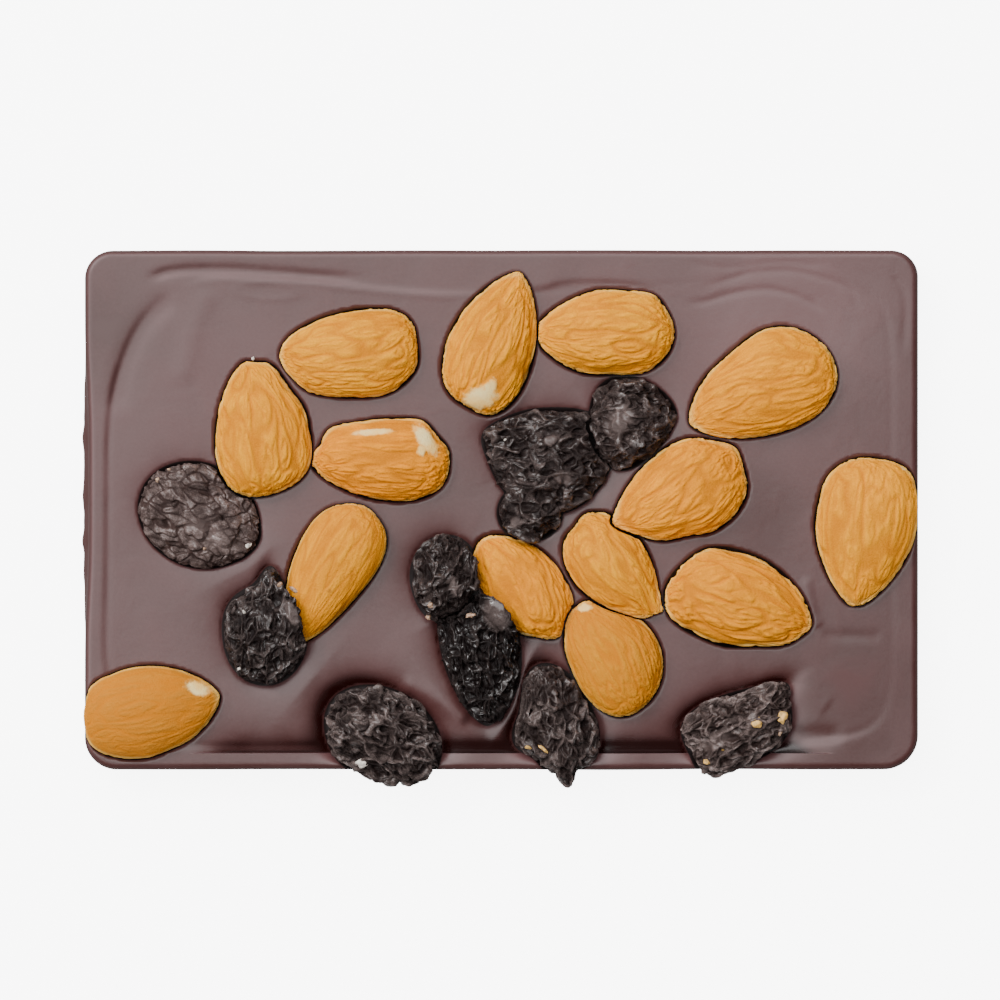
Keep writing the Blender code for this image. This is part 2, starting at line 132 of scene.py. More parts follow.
# Stage: sizes and places in metres, the camera's sensor in millimetres
LIGHT_SIZE = 2.1
LIGHT_PLACE = (-0.52, 0.56, 1.30)
GLINT_SIZE = 0.18
GLINT_PLACE = (-0.80, 0.72, 1.10)
FLOOR_SIZE = 1.5
FLOOR_GLOW = 7.0
SENSOR_WIDTH = 36.0
CAMERA_PLACE = (-0.00023, 0.00156)
WHITE = (1.0, 1.0, 1.0, 1.0)

# Toppings
DROP_ROUNDNESS = 0.15
ALMOND_HALF_THICKNESS = 3.8
ALMOND_CENTRE_LEVEL = 7.7
ALMOND_THICKNESS_TAPER = 0.8
TIP_PINCH = 0.35
TOP_SHARE = 0.65
RAISIN_HALF_THICKNESS = 3.5
RAISIN_CENTRE_LEVEL = 7.9
RAISIN_BLUFFNESS = 0.85
RAISIN_FOLD = 1.5
RAISIN_FOLD_SIZE = 4.5
RAISIN_FOLD_SPREAD = 0.6
RAISIN_MIN_THICKNESS = 2.6
NEIGHBOUR_GAP = 0.35
RESTING_GAP = 0.35
RESTING_SPREAD = 1.25
BED_GAP = 0.35
NO_BED_LEVEL = 99.0
ALMOND_MESH = (200, 128)
RAISIN_SUBDIVISIONS = 7
LOBE_VOXEL = 0.16
CRUMB_RISE = 0.2
CRUMB_LUMPINESS = 0.7
DROP_HEIGHT = 30.0
OUTSIDE_PATCH = -4.0

# Fine grain and broader mottling of each surface, in millimetres, and the depth of its bumps
CHOCOLATE_GRAIN = (0.5, 6.0)
CHOCOLATE_BUMP = 0.02
ALMOND_GRAIN = (0.28, 3.0)
ALMOND_BUMP = 0.04
RAISIN_GRAIN = (0.22, 2.2)
RAISIN_BUMP = 0.05
CRUMB_GRAIN = (0.1, 0.5)


@dataclass(frozen=True)
class Topping:
    """A drop-shaped nut or fruit seen from above.

    heading is the way the narrow end points, from +X. taper narrows that end and bend curves the
    spine. Each lobe (angle, share, sharpness) swells the outline on one side, or flattens it with a
    share below 0. tip_rise and side_rise tilt the topping, and dip is how far the chocolate sinks
    towards it.
    """

    name: str
    x: float
    y: float
    length: float
    width: float
    heading: float
    taper: float = 0.0
    bend: float = 0.0
    level: float = ALMOND_CENTRE_LEVEL
    half_thickness: float = ALMOND_HALF_THICKNESS
    tip_rise: float = 0.0
    side_rise: float = 0.0
    lobes: tuple = ()
    rests_on: tuple = ()
    dip: float = 0.0


@dataclass(frozen=True)
class Patch:
    """An elliptical place on a topping, in slab millimetres, turned by angle from +X."""

    x: float
    y: float
    half_length: float
    half_width: float
    angle: float
    strength: float = 1.0


@dataclass(frozen=True)
class PourLine:
    """A soft ridge (or, with a negative rise, a furrow) left in the poured surface."""

    points: tuple
    width: float
    rise: float


def almond(number, x, y, length, width, heading, taper, bend, **more):
    return Topping(f"almond_{number:02d}", x, y, length, width, heading, taper, bend, **more)


def raisin(number, x, y, length, width, heading, **more):
    more.setdefault("level", RAISIN_CENTRE_LEVEL)
    more.setdefault("half_thickness", RAISIN_HALF_THICKNESS)
    return Topping(f"raisin_{number:02d}", x, y, length, width, heading, **more)


ALMONDS = (
    almond(1, -23.8, 25.0, 21.5, 13.3, 192, 0.09, -1.5, side_rise=0.03,
           lobes=((115, 0.17, 16), (49, 0.05, 30), (140, 0.15, 20))),
    almond(2, -38.2, 12.6, 21.2, 14.6, 95, 0.50, 1.4, tip_rise=-0.03,
           lobes=((-126, 0.12, 9), (-39, 0.16, 21), (-76, 0.08, 30))),
    almond(3, -19.0, 7.5, 21.7, 12.9, 177, 0.43, 0.9, side_rise=-0.04,
           lobes=((-52, 0.17, 30), (-122, 0.12, 30), (-155, 0.06, 30))),
    almond(4, -1.3, 25.6, 24.3, 13.8, 71, 0.40, -0.4, tip_rise=0.03,
           lobes=((173, -0.14, 6),)),
    almond(5, 16.0, 27.4, 21.9, 13.9, 180, 0.36, -0.2,
           lobes=((-131, 0.08, 26), (97, -0.10, 14), (-82, 0.04, 30))),
    almond(6, 40.3, 19.0, 24.6, 16.8, 204, 0.45, 1.2, side_rise=0.03,
           lobes=((-80, -0.17, 7),)),
    almond(7, 26.7, 2.4, 20.8, 15.0, 209, 0.63, -1.2, tip_rise=0.04,
           lobes=((84, -0.10, 30), (-174, 0.12, 30), (150, 0.18, 7))),
    almond(8, 56.4, -3.7, 23.8, 16.1, 264, 0.61, -0.3, tip_rise=0.02,
           lobes=((141, 0.10, 14), (-111, -0.04, 26), (2, -0.05, 30))),
    almond(9, 37.0, -14.6, 23.5, 14.5, -13, 0.28, -1.4,
           lobes=((121, 0.08, 18), (-92, 0.06, 30), (-49, 0.05, 30))),
    almond(10, 17.5, -8.8, 18.9, 12.3, -50, 0.43, 0.5, tip_rise=0.03,
           lobes=((-171, -0.07, 30), (20, 0.14, 30), (-26, 0.08, 30))),
    almond(11, 17.0, -23.0, 19.1, 14.2, 120, 0.22, 1.2, side_rise=0.03,
           lobes=((64, 0.02, 30), (-22, 0.06, 30), (-173, -0.02, 30))),
    almond(12, 3.3, -12.1, 19.7, 12.1, 132, 0.08, 0.2, tip_rise=-0.06,
           lobes=((-165, -0.10, 23), (144, -0.07, 30))),
    almond(13, -27.0, -9.9, 23.8, 11.4, 243, 0.33, 0.6, tip_rise=-0.06, side_rise=0.06,
           lobes=((116, 0.26, 8), (-126, 0.08, 12))),
    almond(14, -54.4, -31.1, 21.4, 14.3, 10, 0.37, 0.3, side_rise=0.02,
           lobes=((139, 0.06, 30), (-148, 0.09, 12), (-81, -0.04, 30))),
)

RAISINS = (
    raisin(1, -47.3, -0.8, 19.0, 15.6, -25, half_thickness=2.9, level=7.4, dip=0.3,
           lobes=((0, 0.08, 10), (95, 0.03, 3), (-95, 0.03, 3))),
    raisin(2, -36.8, -19.4, 15.7, 12.8, 88, taper=0.12, level=8.3, dip=0.5,
           lobes=((-3, 0.33, 24), (60, 0.12, 8), (-47, 0.08, 6)), rests_on=("almond_13",)),
    raisin(3, -18.6, -35.1, 19.0, 14.0, -30, dip=1.3,
           lobes=((-20, 0.07, 8), (60, 0.03, 3), (-110, 0.06, 9))),
    raisin(4, -8.8, -10.1, 12.3, 10.7, 84, level=8.6, dip=0.5,
           lobes=((165, 0.16, 8),), rests_on=("almond_12",)),
    raisin(5, -3.4, -22.8, 21.5, 12.0, -82, taper=0.45, bend=-0.6, level=8.2, dip=0.8,
           lobes=((59, 0.09, 6), (-140, 0.10, 8)), rests_on=("almond_12",)),
    raisin(6, 8.2, -32.6, 17.5, 10.4, -79, bend=-0.6, dip=0.9,
           lobes=((11, 0.21, 24), (-80, 0.42, 24), (63, 0.27, 8))),
    raisin(7, 20.6, 14.6, 13.2, 13.4, -5, taper=0.38, bend=1.3, dip=0.3,
           lobes=((-115, 0.18, 3),)),
    raisin(8, 7.6, 8.3, 19.2, 16.4, -4, bend=1.5, dip=0.4,
           lobes=((168, 0.14, 16), (58, 0.09, 10))),
    raisin(9, 36.6, -33.2, 17.1, 10.9, 23, taper=0.29, bend=1.6, dip=0.8,
           lobes=((-130, 0.32, 12), (27, 0.22, 10), (-50, 0.23, 8))),
)

# The eighth raisin has a second, smaller fold of flesh that leans on an almond
LOWER_LOBE = raisin(8, 4.3, -0.4, 9.8, 9.0, 0, level=8.2, half_thickness=2.9,
                    lobes=((-27, 0.06, 6),), rests_on=("almond_12",))
TOPPINGS = ALMONDS + RAISINS + (LOWER_LOBE,)

# Looks of each almond: ridge strength, ridges round it, slant of the ridges, warmth, darkness
ALMOND_LOOKS = {
    "almond_01": (0.90, 24, 0.10, 0.35, 0.05),
    "almond_02": (0.95, 22, -0.05, 0.35, 0.10),
    "almond_03": (0.95, 20, 0.00, 0.95, 0.00),
    "almond_04": (1.15, 20, 0.10, 0.45, 0.00),
    "almond_05": (0.95, 20, 0.00, 0.45, 0.00),
    "almond_06": (0.80, 26, 0.15, 0.60, 0.00),
    "almond_07": (0.90, 22, -0.10, 0.80, 0.00),
    "almond_08": (0.75, 18, 0.00, 0.50, 0.00),
    "almond_09": (1.40, 18, 0.10, 0.65, 0.15),
    "almond_10": (0.95, 20, 0.10, 0.40, 0.05),
    "almond_11": (0.65, 30, 0.00, 0.35, 0.60),
    "almond_12": (1.15, 16, 0.25, 0.80, 0.10),
    "almond_13": (0.40, 26, 0.00, 0.50, 0.20),
    "almond_14": (0.35, 26, 0.00, 0.60, 0.80),
}

# Places where an almond's skin has chipped off and the pale kernel shows
CHIPS = {
    "almond_03": (Patch(-19.9, 12.2, 3.2, 0.55, 4.0), Patch(-11.7, 11.0, 2.9, 1.2, -52.0),
                  Patch(-12.4, 9.2, 0.9, 0.7, 80.0)),
    "almond_04": (Patch(-3.4, 17.3, 3.0, 1.9, 20.0), Patch(-1.8, 18.8, 1.6, 1.0, 60.0)),
    "almond_08": (Patch(62.6, 7.0, 0.9, 0.5, -50.0),),
    "almond_11": (Patch(12.9, -15.1, 1.2, 0.7, 5.0),),
    "almond_12": (Patch(3.7, -19.7, 1.3, 0.5, -15.0),),
    "almond_14": (Patch(-47.2, -27.7, 1.9, 1.1, -20.0),),
}

# Small dark pits in an almond's skin
PITS = {
    "almond_13": (Patch(-26.7, -12.6, 0.6, 0.4, 0.0),),
}

# Looks of each raisin: wrinkle depth, wrinkle size, paleness of its skin, brownness, and how far
# its skin breaks into plates instead of a net of crests
RAISIN_LOOKS = {
    "raisin_01": (0.45, 2.0, 0.85, 1.00, 0.8),
    "raisin_02": (1.05, 2.4, 0.36, 0.15, 0.0),
    "raisin_03": (1.30, 2.7, 0.62, 0.30, 0.0),
    "raisin_04": (1.20, 2.6, 0.34, 0.25, 0.0),
    "raisin_05": (1.05, 2.1, 0.14, 0.05, 0.0),
    "raisin_06": (1.20, 2.7, 0.58, 0.35, 0.0),
    "raisin_07": (1.25, 2.8, 0.46, 0.40, 0.0),
    "raisin_08": (1.35, 3.0, 0.44, 0.25, 0.0),
    "raisin_09": (1.30, 2.6, 0.95, 0.60, 0.0),
}

# Smooth flats on the raisins, painted with a greyish sheen
RAISIN_FLATS = {
    "raisin_01": (Patch(-45.0, -4.0, 6.5, 2.6, -25.0, 0.5),),
    "raisin_02": (Patch(-32.6, -16.0, 2.9, 1.2, -62.0),),
    "raisin_04": (Patch(-7.4, -11.8, 2.2, 1.1, -60.0, 0.7),),
    "raisin_05": (Patch(-0.9, -16.2, 3.2, 2.2, -65.0),),
    "raisin_07": (Patch(18.4, 14.0, 3.4, 2.6, 60.0, 0.8),),
    "raisin_08": (Patch(7.9, 10.9, 1.8, 1.1, 20.0), Patch(9.6, 4.8, 1.8, 1.2, 0.0, 0.8),
                  Patch(2.2, -2.0, 1.3, 1.0, 0.0)),
    "raisin_09": (Patch(33.5, -35.8, 3.4, 1.6, 35.0, 0.7),),
}

# Crumbs that lie on the bark: x, y, length, width and the way each points
CRUMBS = {
    "white": ((-39.4, -5.5, 0.9, 0.7, 60), (-40.0, -15.9, 0.7, 0.45, -50), (-40.8, -24.7, 0.6, 0.5, 10),
              (-21.7, -39.4, 1.2, 1.6, 80), (0.6, 10.9, 0.5, 0.4, 0),
              (-38.7, 23.6, 0.6, 0.45, 90)),
    "golden": ((39.9, -33.0, 1.9, 1.4, 20), (43.7, -32.3, 1.3, 1.9, -20), (6.5, -37.2, 1.7, 0.5, -40),
               (4.2, -36.9, 1.1, 0.5, -10), (31.9, -39.2, 1.1, 0.8, -30), (34.5, -37.2, 0.6, 0.4, 40)),
    "tan": ((-53.5, 4.7, 0.8, 0.7, 30), (-51.8, 6.3, 0.6, 0.5, 0), (-34.5, -11.6, 0.9, 0.6, 40),
            (-32.3, -12.4, 1.5, 0.6, -30), (-11.1, -14.8, 1.0, 0.8, 30), (-11.4, -16.6, 0.9, 0.8, 80),
            (-4.8, -16.4, 1.6, 0.7, 20), (43.4, -34.6, 0.9, 0.6, 70), (-46.2, -6.0, 0.5, 0.4, 0)),
}

# The well inside the rim, clockwise from the left: x, y and the share of the rim's height there
WELL = (
    (-62.1, 0.0, 0.45), (-61.9, 12.0, 0.5), (-60.6, 20.0, 0.5), (-57.8, 27.5, 0.3),
    (-54.2, 32.3, 0.1), (-50.4, 34.8, 0.0), (-45.0, 36.3, -0.35), (-38.0, 36.3, -0.5),
    (-30.0, 35.9, -0.55), (-22.0, 35.0, -0.6), (-12.0, 34.1, -0.6), (-4.0, 34.0, -0.3),
    (6.0, 34.6, 0.4), (14.0, 35.4, 0.3), (24.0, 35.6, 0.1), (36.0, 36.2, 0.0),
    (48.0, 36.4, 0.0), (56.0, 35.2, 0.05), (60.2, 31.0, 0.2), (61.2, 22.0, 0.15),
    (61.3, 8.0, 0.15), (61.3, -10.0, 0.1), (61.2, -26.0, 0.1), (58.5, -33.5, 0.2),
    (50.0, -36.2, 0.5), (30.0, -37.2, 0.5), (0.0, -37.4, 0.5), (-30.0, -37.4, 0.5),
    (-50.0, -37.0, 0.5), (-59.5, -33.0, 0.4), (-61.9, -24.0, 0.45), (-62.1, -12.0, 0.45),
)

# Soft ridges and furrows that the pouring left
POUR_LINES = (
    PourLine(((-56.0, 35.8), (-51.2, 37.2), (-44.0, 37.5), (-37.0, 37.2), (-29.5, 36.6),
              (-20.0, 36.0)), 0.8, -0.19),
    PourLine(((-60.6, 14.0), (-58.6, 23.0), (-55.4, 29.3), (-50.5, 33.8)), 1.8, -0.17),
    PourLine(((28.2, 32.4), (31.4, 32.4), (35.5, 33.6), (39.2, 34.3), (42.3, 34.3), (46.1, 33.4),
              (48.7, 32.0), (50.6, 30.4)), 0.55, -0.075),
    PourLine(((30.0, 34.4), (35.6, 36.0), (39.2, 37.0), (44.7, 37.3), (49.2, 36.4), (52.5, 35.4),
              (54.8, 33.8), (55.8, 31.0)), 0.55, -0.06),
    PourLine(((28.6, 38.6), (35.5, 37.8), (43.0, 38.6), (52.0, 38.0)), 0.5, -0.035),
    PourLine(((60.7, 36.8), (62.5, 34.5), (63.0, 31.0), (62.6, 24.0)), 0.6, -0.05),
    PourLine(((6.2, 34.5), (10.4, 35.3), (14.0, 35.4), (20.0, 35.0), (27.0, 33.0)), 0.5, -0.07),
    PourLine(((-45.3, 34.9), (-48.0, 28.0), (-50.0, 19.0)), 1.8, 0.08),
    PourLine(((-16.0, -27.0), (-10.0, -29.5), (-4.6, -33.0)), 1.5, 0.22),
    PourLine(((47.4, -10.0), (48.4, -15.5), (49.6, -18.5)), 0.8, 0.10),
    PourLine(((46.5, -25.0), (48.4, -28.0), (49.6, -29.6), (51.2, -30.8)), 1.7, 0.08),
    PourLine(((49.5, -19.6), (55.0, -19.6), (59.5, -19.8)), 0.9, -0.07),
    PourLine(((36.0, -35.6), (44.0, -35.2), (54.0, -35.0)), 1.4, -0.25),
)

# A faint oval ring near the upper left
RING = Patch(-36.6, 34.2, 4.6, 1.3, -3.0, 0.035)

# A scuffed place at the lower right
SCUFF = Patch(55.0, -25.0, 6.0, 7.0, 0.0)

# Broad swells of the surface: x, y, reach, rise
SWELLS = (
    (-51.0, 22.0, 9.0, 0.22),
    (-30.0, -28.0, 9.0, 0.12),
    (-10.0, -27.0, 7.0, 0.15),
    (52.0, 30.0, 8.0, -0.15),
    (52.0, -25.0, 8.0, 0.12),
)

# Where the greyish haze on the chocolate is stronger or weaker: x, y, reach, amount
HAZE = (
    (44.0, 31.0, 12.0, 1.1),
    (20.0, 36.0, 9.0, 0.15),
    (-52.0, 14.0, 15.0, 0.20),
    (-36.0, 30.0, 10.0, 0.10),
    (-61.0, 28.0, 8.0, -0.42),
    (55.0, -28.0, 12.0, -0.52),
    (-6.0, 0.0, 9.0, -0.10),
    (30.0, -24.0, 8.0, -0.12),
    (38.0, -2.0, 8.0, -0.60),
)


# Settings that a user may change


class BARK_PG_slab(bpy.types.PropertyGroup):
    """Sizes and colours of the chocolate."""

    surface_level: bpy.props.FloatProperty(
        name="Surface level", description="Height of the poured surface",
        default=7.0 * MM, min=4.0 * MM, max=12.0 * MM, unit="LENGTH", precision=4)
    rim_height: bpy.props.FloatProperty(
        name="Rim height", description="How far the rim stands above the surface",
        default=0.25 * MM, min=0.0, max=2.0 * MM, unit="LENGTH", precision=5)
    groove_depth: bpy.props.FloatProperty(
        name="Front groove depth", description="Depth of the groove inside the front rim",
        default=1.2 * MM, min=0.0, max=2.0 * MM, unit="LENGTH", precision=5)
    cell: bpy.props.FloatProperty(
        name="Cell", description="Spacing of the surface's mesh",
        default=0.375 * MM, min=0.2 * MM, max=5.0 * MM, unit="LENGTH", precision=5)
    chocolate: bpy.props.FloatVectorProperty(
        name="Chocolate", description="Colour of the dark chocolate",
        default=(0.052, 0.013, 0.011), size=3, min=0.0, max=1.0, subtype="COLOR")
    # The bloom colour is the real greyish haze, and also painted light on slopes turned to the large
    # light
    bloom_and_painted_light: bpy.props.FloatVectorProperty(
        name="Bloom", description="Colour of the greyish haze on the chocolate",
        default=(0.114, 0.050, 0.050), size=3, min=0.0, max=1.0, subtype="COLOR")
    # Painted shade: the darker colour put in the front groove and on slopes turned away from the large
    # light
    painted_shade_colour: bpy.props.FloatVectorProperty(
        name="Hollow", description="Colour of clean chocolate in the groove and on shaded slopes",
        default=(0.013, 0.0014, 0.001), size=3, min=0.0, max=1.0, subtype="COLOR")
    # Painted shade: the near-black colour in the narrow gap beside each topping
    contact_shade: bpy.props.FloatVectorProperty(
        name="Contact", description="Colour of the chocolate in the gap beside a topping",
        default=(0.006, 0.0012, 0.001), size=3, min=0.0, max=1.0, subtype="COLOR")


class BARK_PG_almonds(bpy.types.PropertyGroup):
    """Sizes and colours of the almonds."""

    ridge_depth: bpy.props.FloatProperty(
        name="Ridge depth", description="Depth of the furrows between the skin's ridges",
        default=0.42 * MM, min=0.0, max=1.0 * MM, unit="LENGTH", precision=5)
    chip_depth: bpy.props.FloatProperty(
        name="Chip depth", description="Thickness of the skin where it has chipped off",
        default=0.16 * MM, min=0.0, max=0.5 * MM, unit="LENGTH", precision=5)
    skin: bpy.props.FloatVectorProperty(
        name="Skin", description="Colour of the ridges",
        default=(1.0, 0.455, 0.012), size=3, min=0.0, max=1.0, subtype="COLOR")
    warm_skin: bpy.props.FloatVectorProperty(
        name="Warm skin", description="Colour of the more orange almonds",
        default=(1.0, 0.34, 0.006), size=3, min=0.0, max=1.0, subtype="COLOR")
    # Painted sheen: a pale colour low on the almonds' sides, which also lightens their shaded lower
    # sides
    painted_rim_sheen: bpy.props.FloatVectorProperty(
        name="Pale rim", description="Colour of the skin low on the sides",
        default=(1.0, 0.60, 0.14), size=3, min=0.0, max=1.0, subtype="COLOR")
    brown_skin: bpy.props.FloatVectorProperty(
        name="Brown skin", description="Colour of the darkest almonds' skin",
        default=(0.42, 0.160, 0.020), size=3, min=0.0, max=1.0, subtype="COLOR")
    # Partly the skin's own darker tone, partly painted shade in the furrows
    furrow: bpy.props.FloatVectorProperty(
        name="Furrow", description="Colour between the ridges",
        default=(0.58, 0.18, 0.004), size=3, min=0.0, max=1.0, subtype="COLOR")
    kernel: bpy.props.FloatVectorProperty(
        name="Kernel", description="Colour of the bare kernel",
        default=(1.0, 0.78, 0.36), size=3, min=0.0, max=1.0, subtype="COLOR")


class BARK_PG_raisins(bpy.types.PropertyGroup):
    """Sizes and colours of the raisins."""

    wrinkle_depth: bpy.props.FloatProperty(
        name="Wrinkle depth", description="Depth of the wrinkles",
        default=0.85 * MM, min=0.0, max=2.0 * MM, unit="LENGTH", precision=5)
    skin: bpy.props.FloatVectorProperty(
        name="Skin", description="Colour of the darkest skin",
        default=(0.0035, 0.0018, 0.0019), size=3, min=0.0, max=1.0, subtype="COLOR")
    brown_skin: bpy.props.FloatVectorProperty(
        name="Brown skin", description="Colour of the brownest skin",
        default=(0.052, 0.030, 0.026), size=3, min=0.0, max=1.0, subtype="COLOR")
    # The bloom colour is real dust on the crests, partly painted light there, and a painted greyish
    # sheen on the smooth flats
    bloom_and_painted_light: bpy.props.FloatVectorProperty(
        name="Bloom", description="Colour of the dusty grey on ridges and flats",
        default=(0.26, 0.195, 0.18), size=3, min=0.0, max=1.0, subtype="COLOR")


class BARK_PG_crumbs(bpy.types.PropertyGroup):
    """Sizes and colours of the seeds and crumbs."""

    crumb_thickness: bpy.props.FloatProperty(
        name="Crumb thickness", description="Thickness of a crumb",
        default=0.5 * MM, min=0.05 * MM, max=2.0 * MM, unit="LENGTH", precision=5)
    white_colour: bpy.props.FloatVectorProperty(
        name="White crumbs", description="Colour of the white crumbs",
        default=(1.0, 0.90, 0.80), size=3, min=0.0, max=1.0, subtype="COLOR")
    golden_colour: bpy.props.FloatVectorProperty(
        name="Golden crumbs", description="Colour of the golden seeds and bits of nut",
        default=(0.90, 0.52, 0.14), size=3, min=0.0, max=1.0, subtype="COLOR")
    tan_colour: bpy.props.FloatVectorProperty(
        name="Tan crumbs", description="Colour of the tan crumbs and bits of stalk",
        default=(0.55, 0.34, 0.22), size=3, min=0.0, max=1.0, subtype="COLOR")


class BARK_PG_stage(bpy.types.PropertyGroup):
    """Floor, lights and camera."""

    key_strength: bpy.props.FloatProperty(
        name="Overhead light", description="Brightness of the large soft light",
        default=4.1, min=0.0, max=50.0)
    glint_strength: bpy.props.FloatProperty(
        name="Glint light", description="Brightness of the small light that draws glints",
        default=60.0, min=0.0, max=200.0)
    fill_strength: bpy.props.FloatProperty(
        name="Surrounding light", description="Brightness of the even light all round",
        default=0.10, min=0.0, max=10.0)
    camera_height: bpy.props.FloatProperty(
        name="Camera height", description="Height of the camera over the floor",
        default=1.2, min=0.2, max=5.0, unit="LENGTH")
    view_width: bpy.props.FloatProperty(
        name="View width", description="Width of the view at the chocolate's surface",
        default=155.9 * MM, min=0.01, max=2.0, unit="LENGTH", precision=4)
    floor: bpy.props.FloatVectorProperty(
        name="Floor", description="Colour of the floor",
        default=(0.93, 0.93, 0.93), size=3, min=0.0, max=1.0, subtype="COLOR")


# Numbers on whole arrays


def smoothstep(low, high, value):
    """0 at low, 1 at high and a soft rise between them; low may be above high."""
    share = np.clip((value - low) / (high - low), 0.0, 1.0)
    return share * share * (3.0 - 2.0 * share)


def bell(distance, reach):
    """1 at no distance, falling softly to about a third at the reach."""
    return np.exp(-(distance / reach) ** 2)


def noise_at(points, size, seed=0.0):
    """Smooth noise, about -1 to 1, at an array of points in millimetres."""
    places = points / size + np.array((seed, -0.7 * seed, 0.3 * seed))
    return np.array([noise.noise(place) for place in map(Vector, places.tolist())])


def smooth_curve(points, steps=8, closed=False):
    """A smooth line through the points, as an array."""
    knots = np.array(points, dtype=float)
    if closed:
        padded = np.vstack((knots[-1:], knots, knots[:2]))
    else:
        padded = np.vstack((2 * knots[0] - knots[1], knots, 2 * knots[-1] - knots[-2]))
    shares = np.linspace(0.0, 1.0, steps, endpoint=False)[:, None]
    pieces = []
    for a, b, c, d in zip(padded, padded[1:], padded[2:], padded[3:]):
        pieces.append(0.5 * (2 * b + (c - a) * shares + (2 * a - 5 * b + 4 * c - d) * shares ** 2
                             + (3 * b - a - 3 * c + d) * shares ** 3))
    if not closed:
        pieces.append(knots[-1:])
    return np.vstack(pieces)


def distance_to_line(x, y, line):
    """Distance of each point to a polyline, and how far along it the nearest place is (0 to 1)."""
    nearest = np.full(x.shape, np.inf)
    along = np.zeros(x.shape)
    count = len(line) - 1
    for step, (start, end) in enumerate(zip(line, line[1:])):
        way = end - start
        share = ((x - start[0]) * way[0] + (y - start[1]) * way[1]) / max(way @ way, 1e-9)
        share = np.clip(share, 0.0, 1.0)
        distance = np.hypot(x - start[0] - share * way[0], y - start[1] - share * way[1])
        closer = distance < nearest
        nearest = np.where(closer, distance, nearest)
        along = np.where(closer, (step + share) / count, along)
    return nearest, along


def inside_line(x, y, line):
    """Which points a closed polyline goes round."""
    inside = np.zeros(x.shape, dtype=bool)
    for start, end in zip(line, np.roll(line, -1, axis=0)):
        if start[1] == end[1]:
            continue
        crosses = (start[1] > y) != (end[1] > y)
        meets = start[0] + (y - start[1]) / (end[1] - start[1]) * (end[0] - start[0])
        inside ^= crosses & (x < meets)
    return inside


def patch_field(x, y, patches):
    """1 in the middle of the nearest patch, 0 at its edge and below 0 outside it."""
    field = np.full(x.shape, OUTSIDE_PATCH)
    for patch in patches:
        turn = math.radians(patch.angle)
        along = (x - patch.x) * math.cos(turn) + (y - patch.y) * math.sin(turn)
        aside = (y - patch.y) * math.cos(turn) - (x - patch.x) * math.sin(turn)
        distance = np.hypot(along / patch.half_length, aside / patch.half_width)
        field = np.maximum(field, patch.strength * (1.0 - distance))
    return field


# Outlines of the toppings


def drop_profile(t, taper):
    """Width of a drop along its spine, t running from 0 at the narrow end to pi at the other."""
    return np.sin(t) * (np.sin(t / 2.0) ** 2 + DROP_ROUNDNESS ** 2) ** (taper / 2.0)


def drop_share(t, taper):
    return drop_profile(t, taper) / drop_profile(np.radians(np.arange(181)), taper).max()


def lobe_factor(topping, t):
    factor = np.ones_like(t)
    for angle, share, sharpness in topping.lobes:
        factor = factor + share * np.exp(sharpness * (np.cos(t - math.radians(angle)) - 1.0))
    return factor


def outline_points(topping, t):
    from_tip = np.abs(np.remainder(t + math.pi, math.tau) - math.pi)
    factor = lobe_factor(topping, t)
    spine = topping.bend * (np.cos(t) ** 2 - 0.5)
    along = topping.length / 2.0 * np.cos(t)
    aside = np.sign(np.sin(t)) * topping.width / 2.0 * drop_share(from_tip, topping.taper) + spine
    return along * factor, aside * factor


def to_local(topping, x, y):
    turn = math.radians(topping.heading)
    dx, dy = x - topping.x, y - topping.y
    return dx * math.cos(turn) + dy * math.sin(turn), dy * math.cos(turn) - dx * math.sin(turn)


def to_slab(topping, along, aside):
    turn = math.radians(topping.heading)
    x = topping.x + along * math.cos(turn) - aside * math.sin(turn)
    y = topping.y + along * math.sin(turn) + aside * math.cos(turn)
    return x, y


def reach_toward(topping, x, y):
    """Distance of points from the topping's centre, and the outline's distance that way."""
    rim_along, rim_aside = outline_points(topping, np.radians(np.arange(-180.0, 180.0, 0.5)))
    angles = np.arctan2(rim_aside, rim_along)
    order = np.argsort(angles)
    radii = np.hypot(rim_along, rim_aside)[order]
    along, aside = to_local(topping, x, y)
    radius = np.interp(np.arctan2(aside, along), angles[order], radii, period=math.tau)
    return np.hypot(along, aside), radius


def tilt_height(topping, along, aside):
    return topping.tip_rise * along + topping.side_rise * aside


def step_aside(x, y, neighbours):
    """Moves points straight out of the outlines of the toppings beside them."""
    for other in neighbours:
        distance, radius = reach_toward(other, x, y)
        grow = np.maximum((radius + NEIGHBOUR_GAP) / np.maximum(distance, 1e-6), 1.0)
        x = other.x + (x - other.x) * grow
        y = other.y + (y - other.y) * grow
    return x, y


def lift_over(topping, x, y, z, level_share):
    """Raises a raisin's points over the almond it leans on, leaving the raisin some thickness."""
    for almond_below in ALMONDS:
        if almond_below.name not in topping.rests_on:
            continue
        distance, radius = reach_toward(almond_below, x, y)
        share = distance / (radius * RESTING_SPREAD)
        dome = almond_below.half_thickness * np.sqrt(np.maximum(1.0 - share * share, 0.0))
        tilt = tilt_height(almond_below, *to_local(almond_below, x, y))
        cover = almond_below.level + tilt + dome + RESTING_GAP
        lifted = np.maximum(z, cover + RAISIN_MIN_THICKNESS * (level_share + 1.0) / 2.0)
        z = np.where(share < 1.0, lifted, z)
    return z


# Meshes


def new_object(name, data):
    piece = bpy.data.objects.new(name, data)
    bpy.context.scene.collection.objects.link(piece)
    return piece


def add_fields(data, fields):
    """Gives a mesh a number at each place for each named field."""
    for name, values in fields.items():
        attribute = data.attributes.new(name, "FLOAT", "POINT")
        attribute.data.foreach_set("value", values.astype(np.float32))


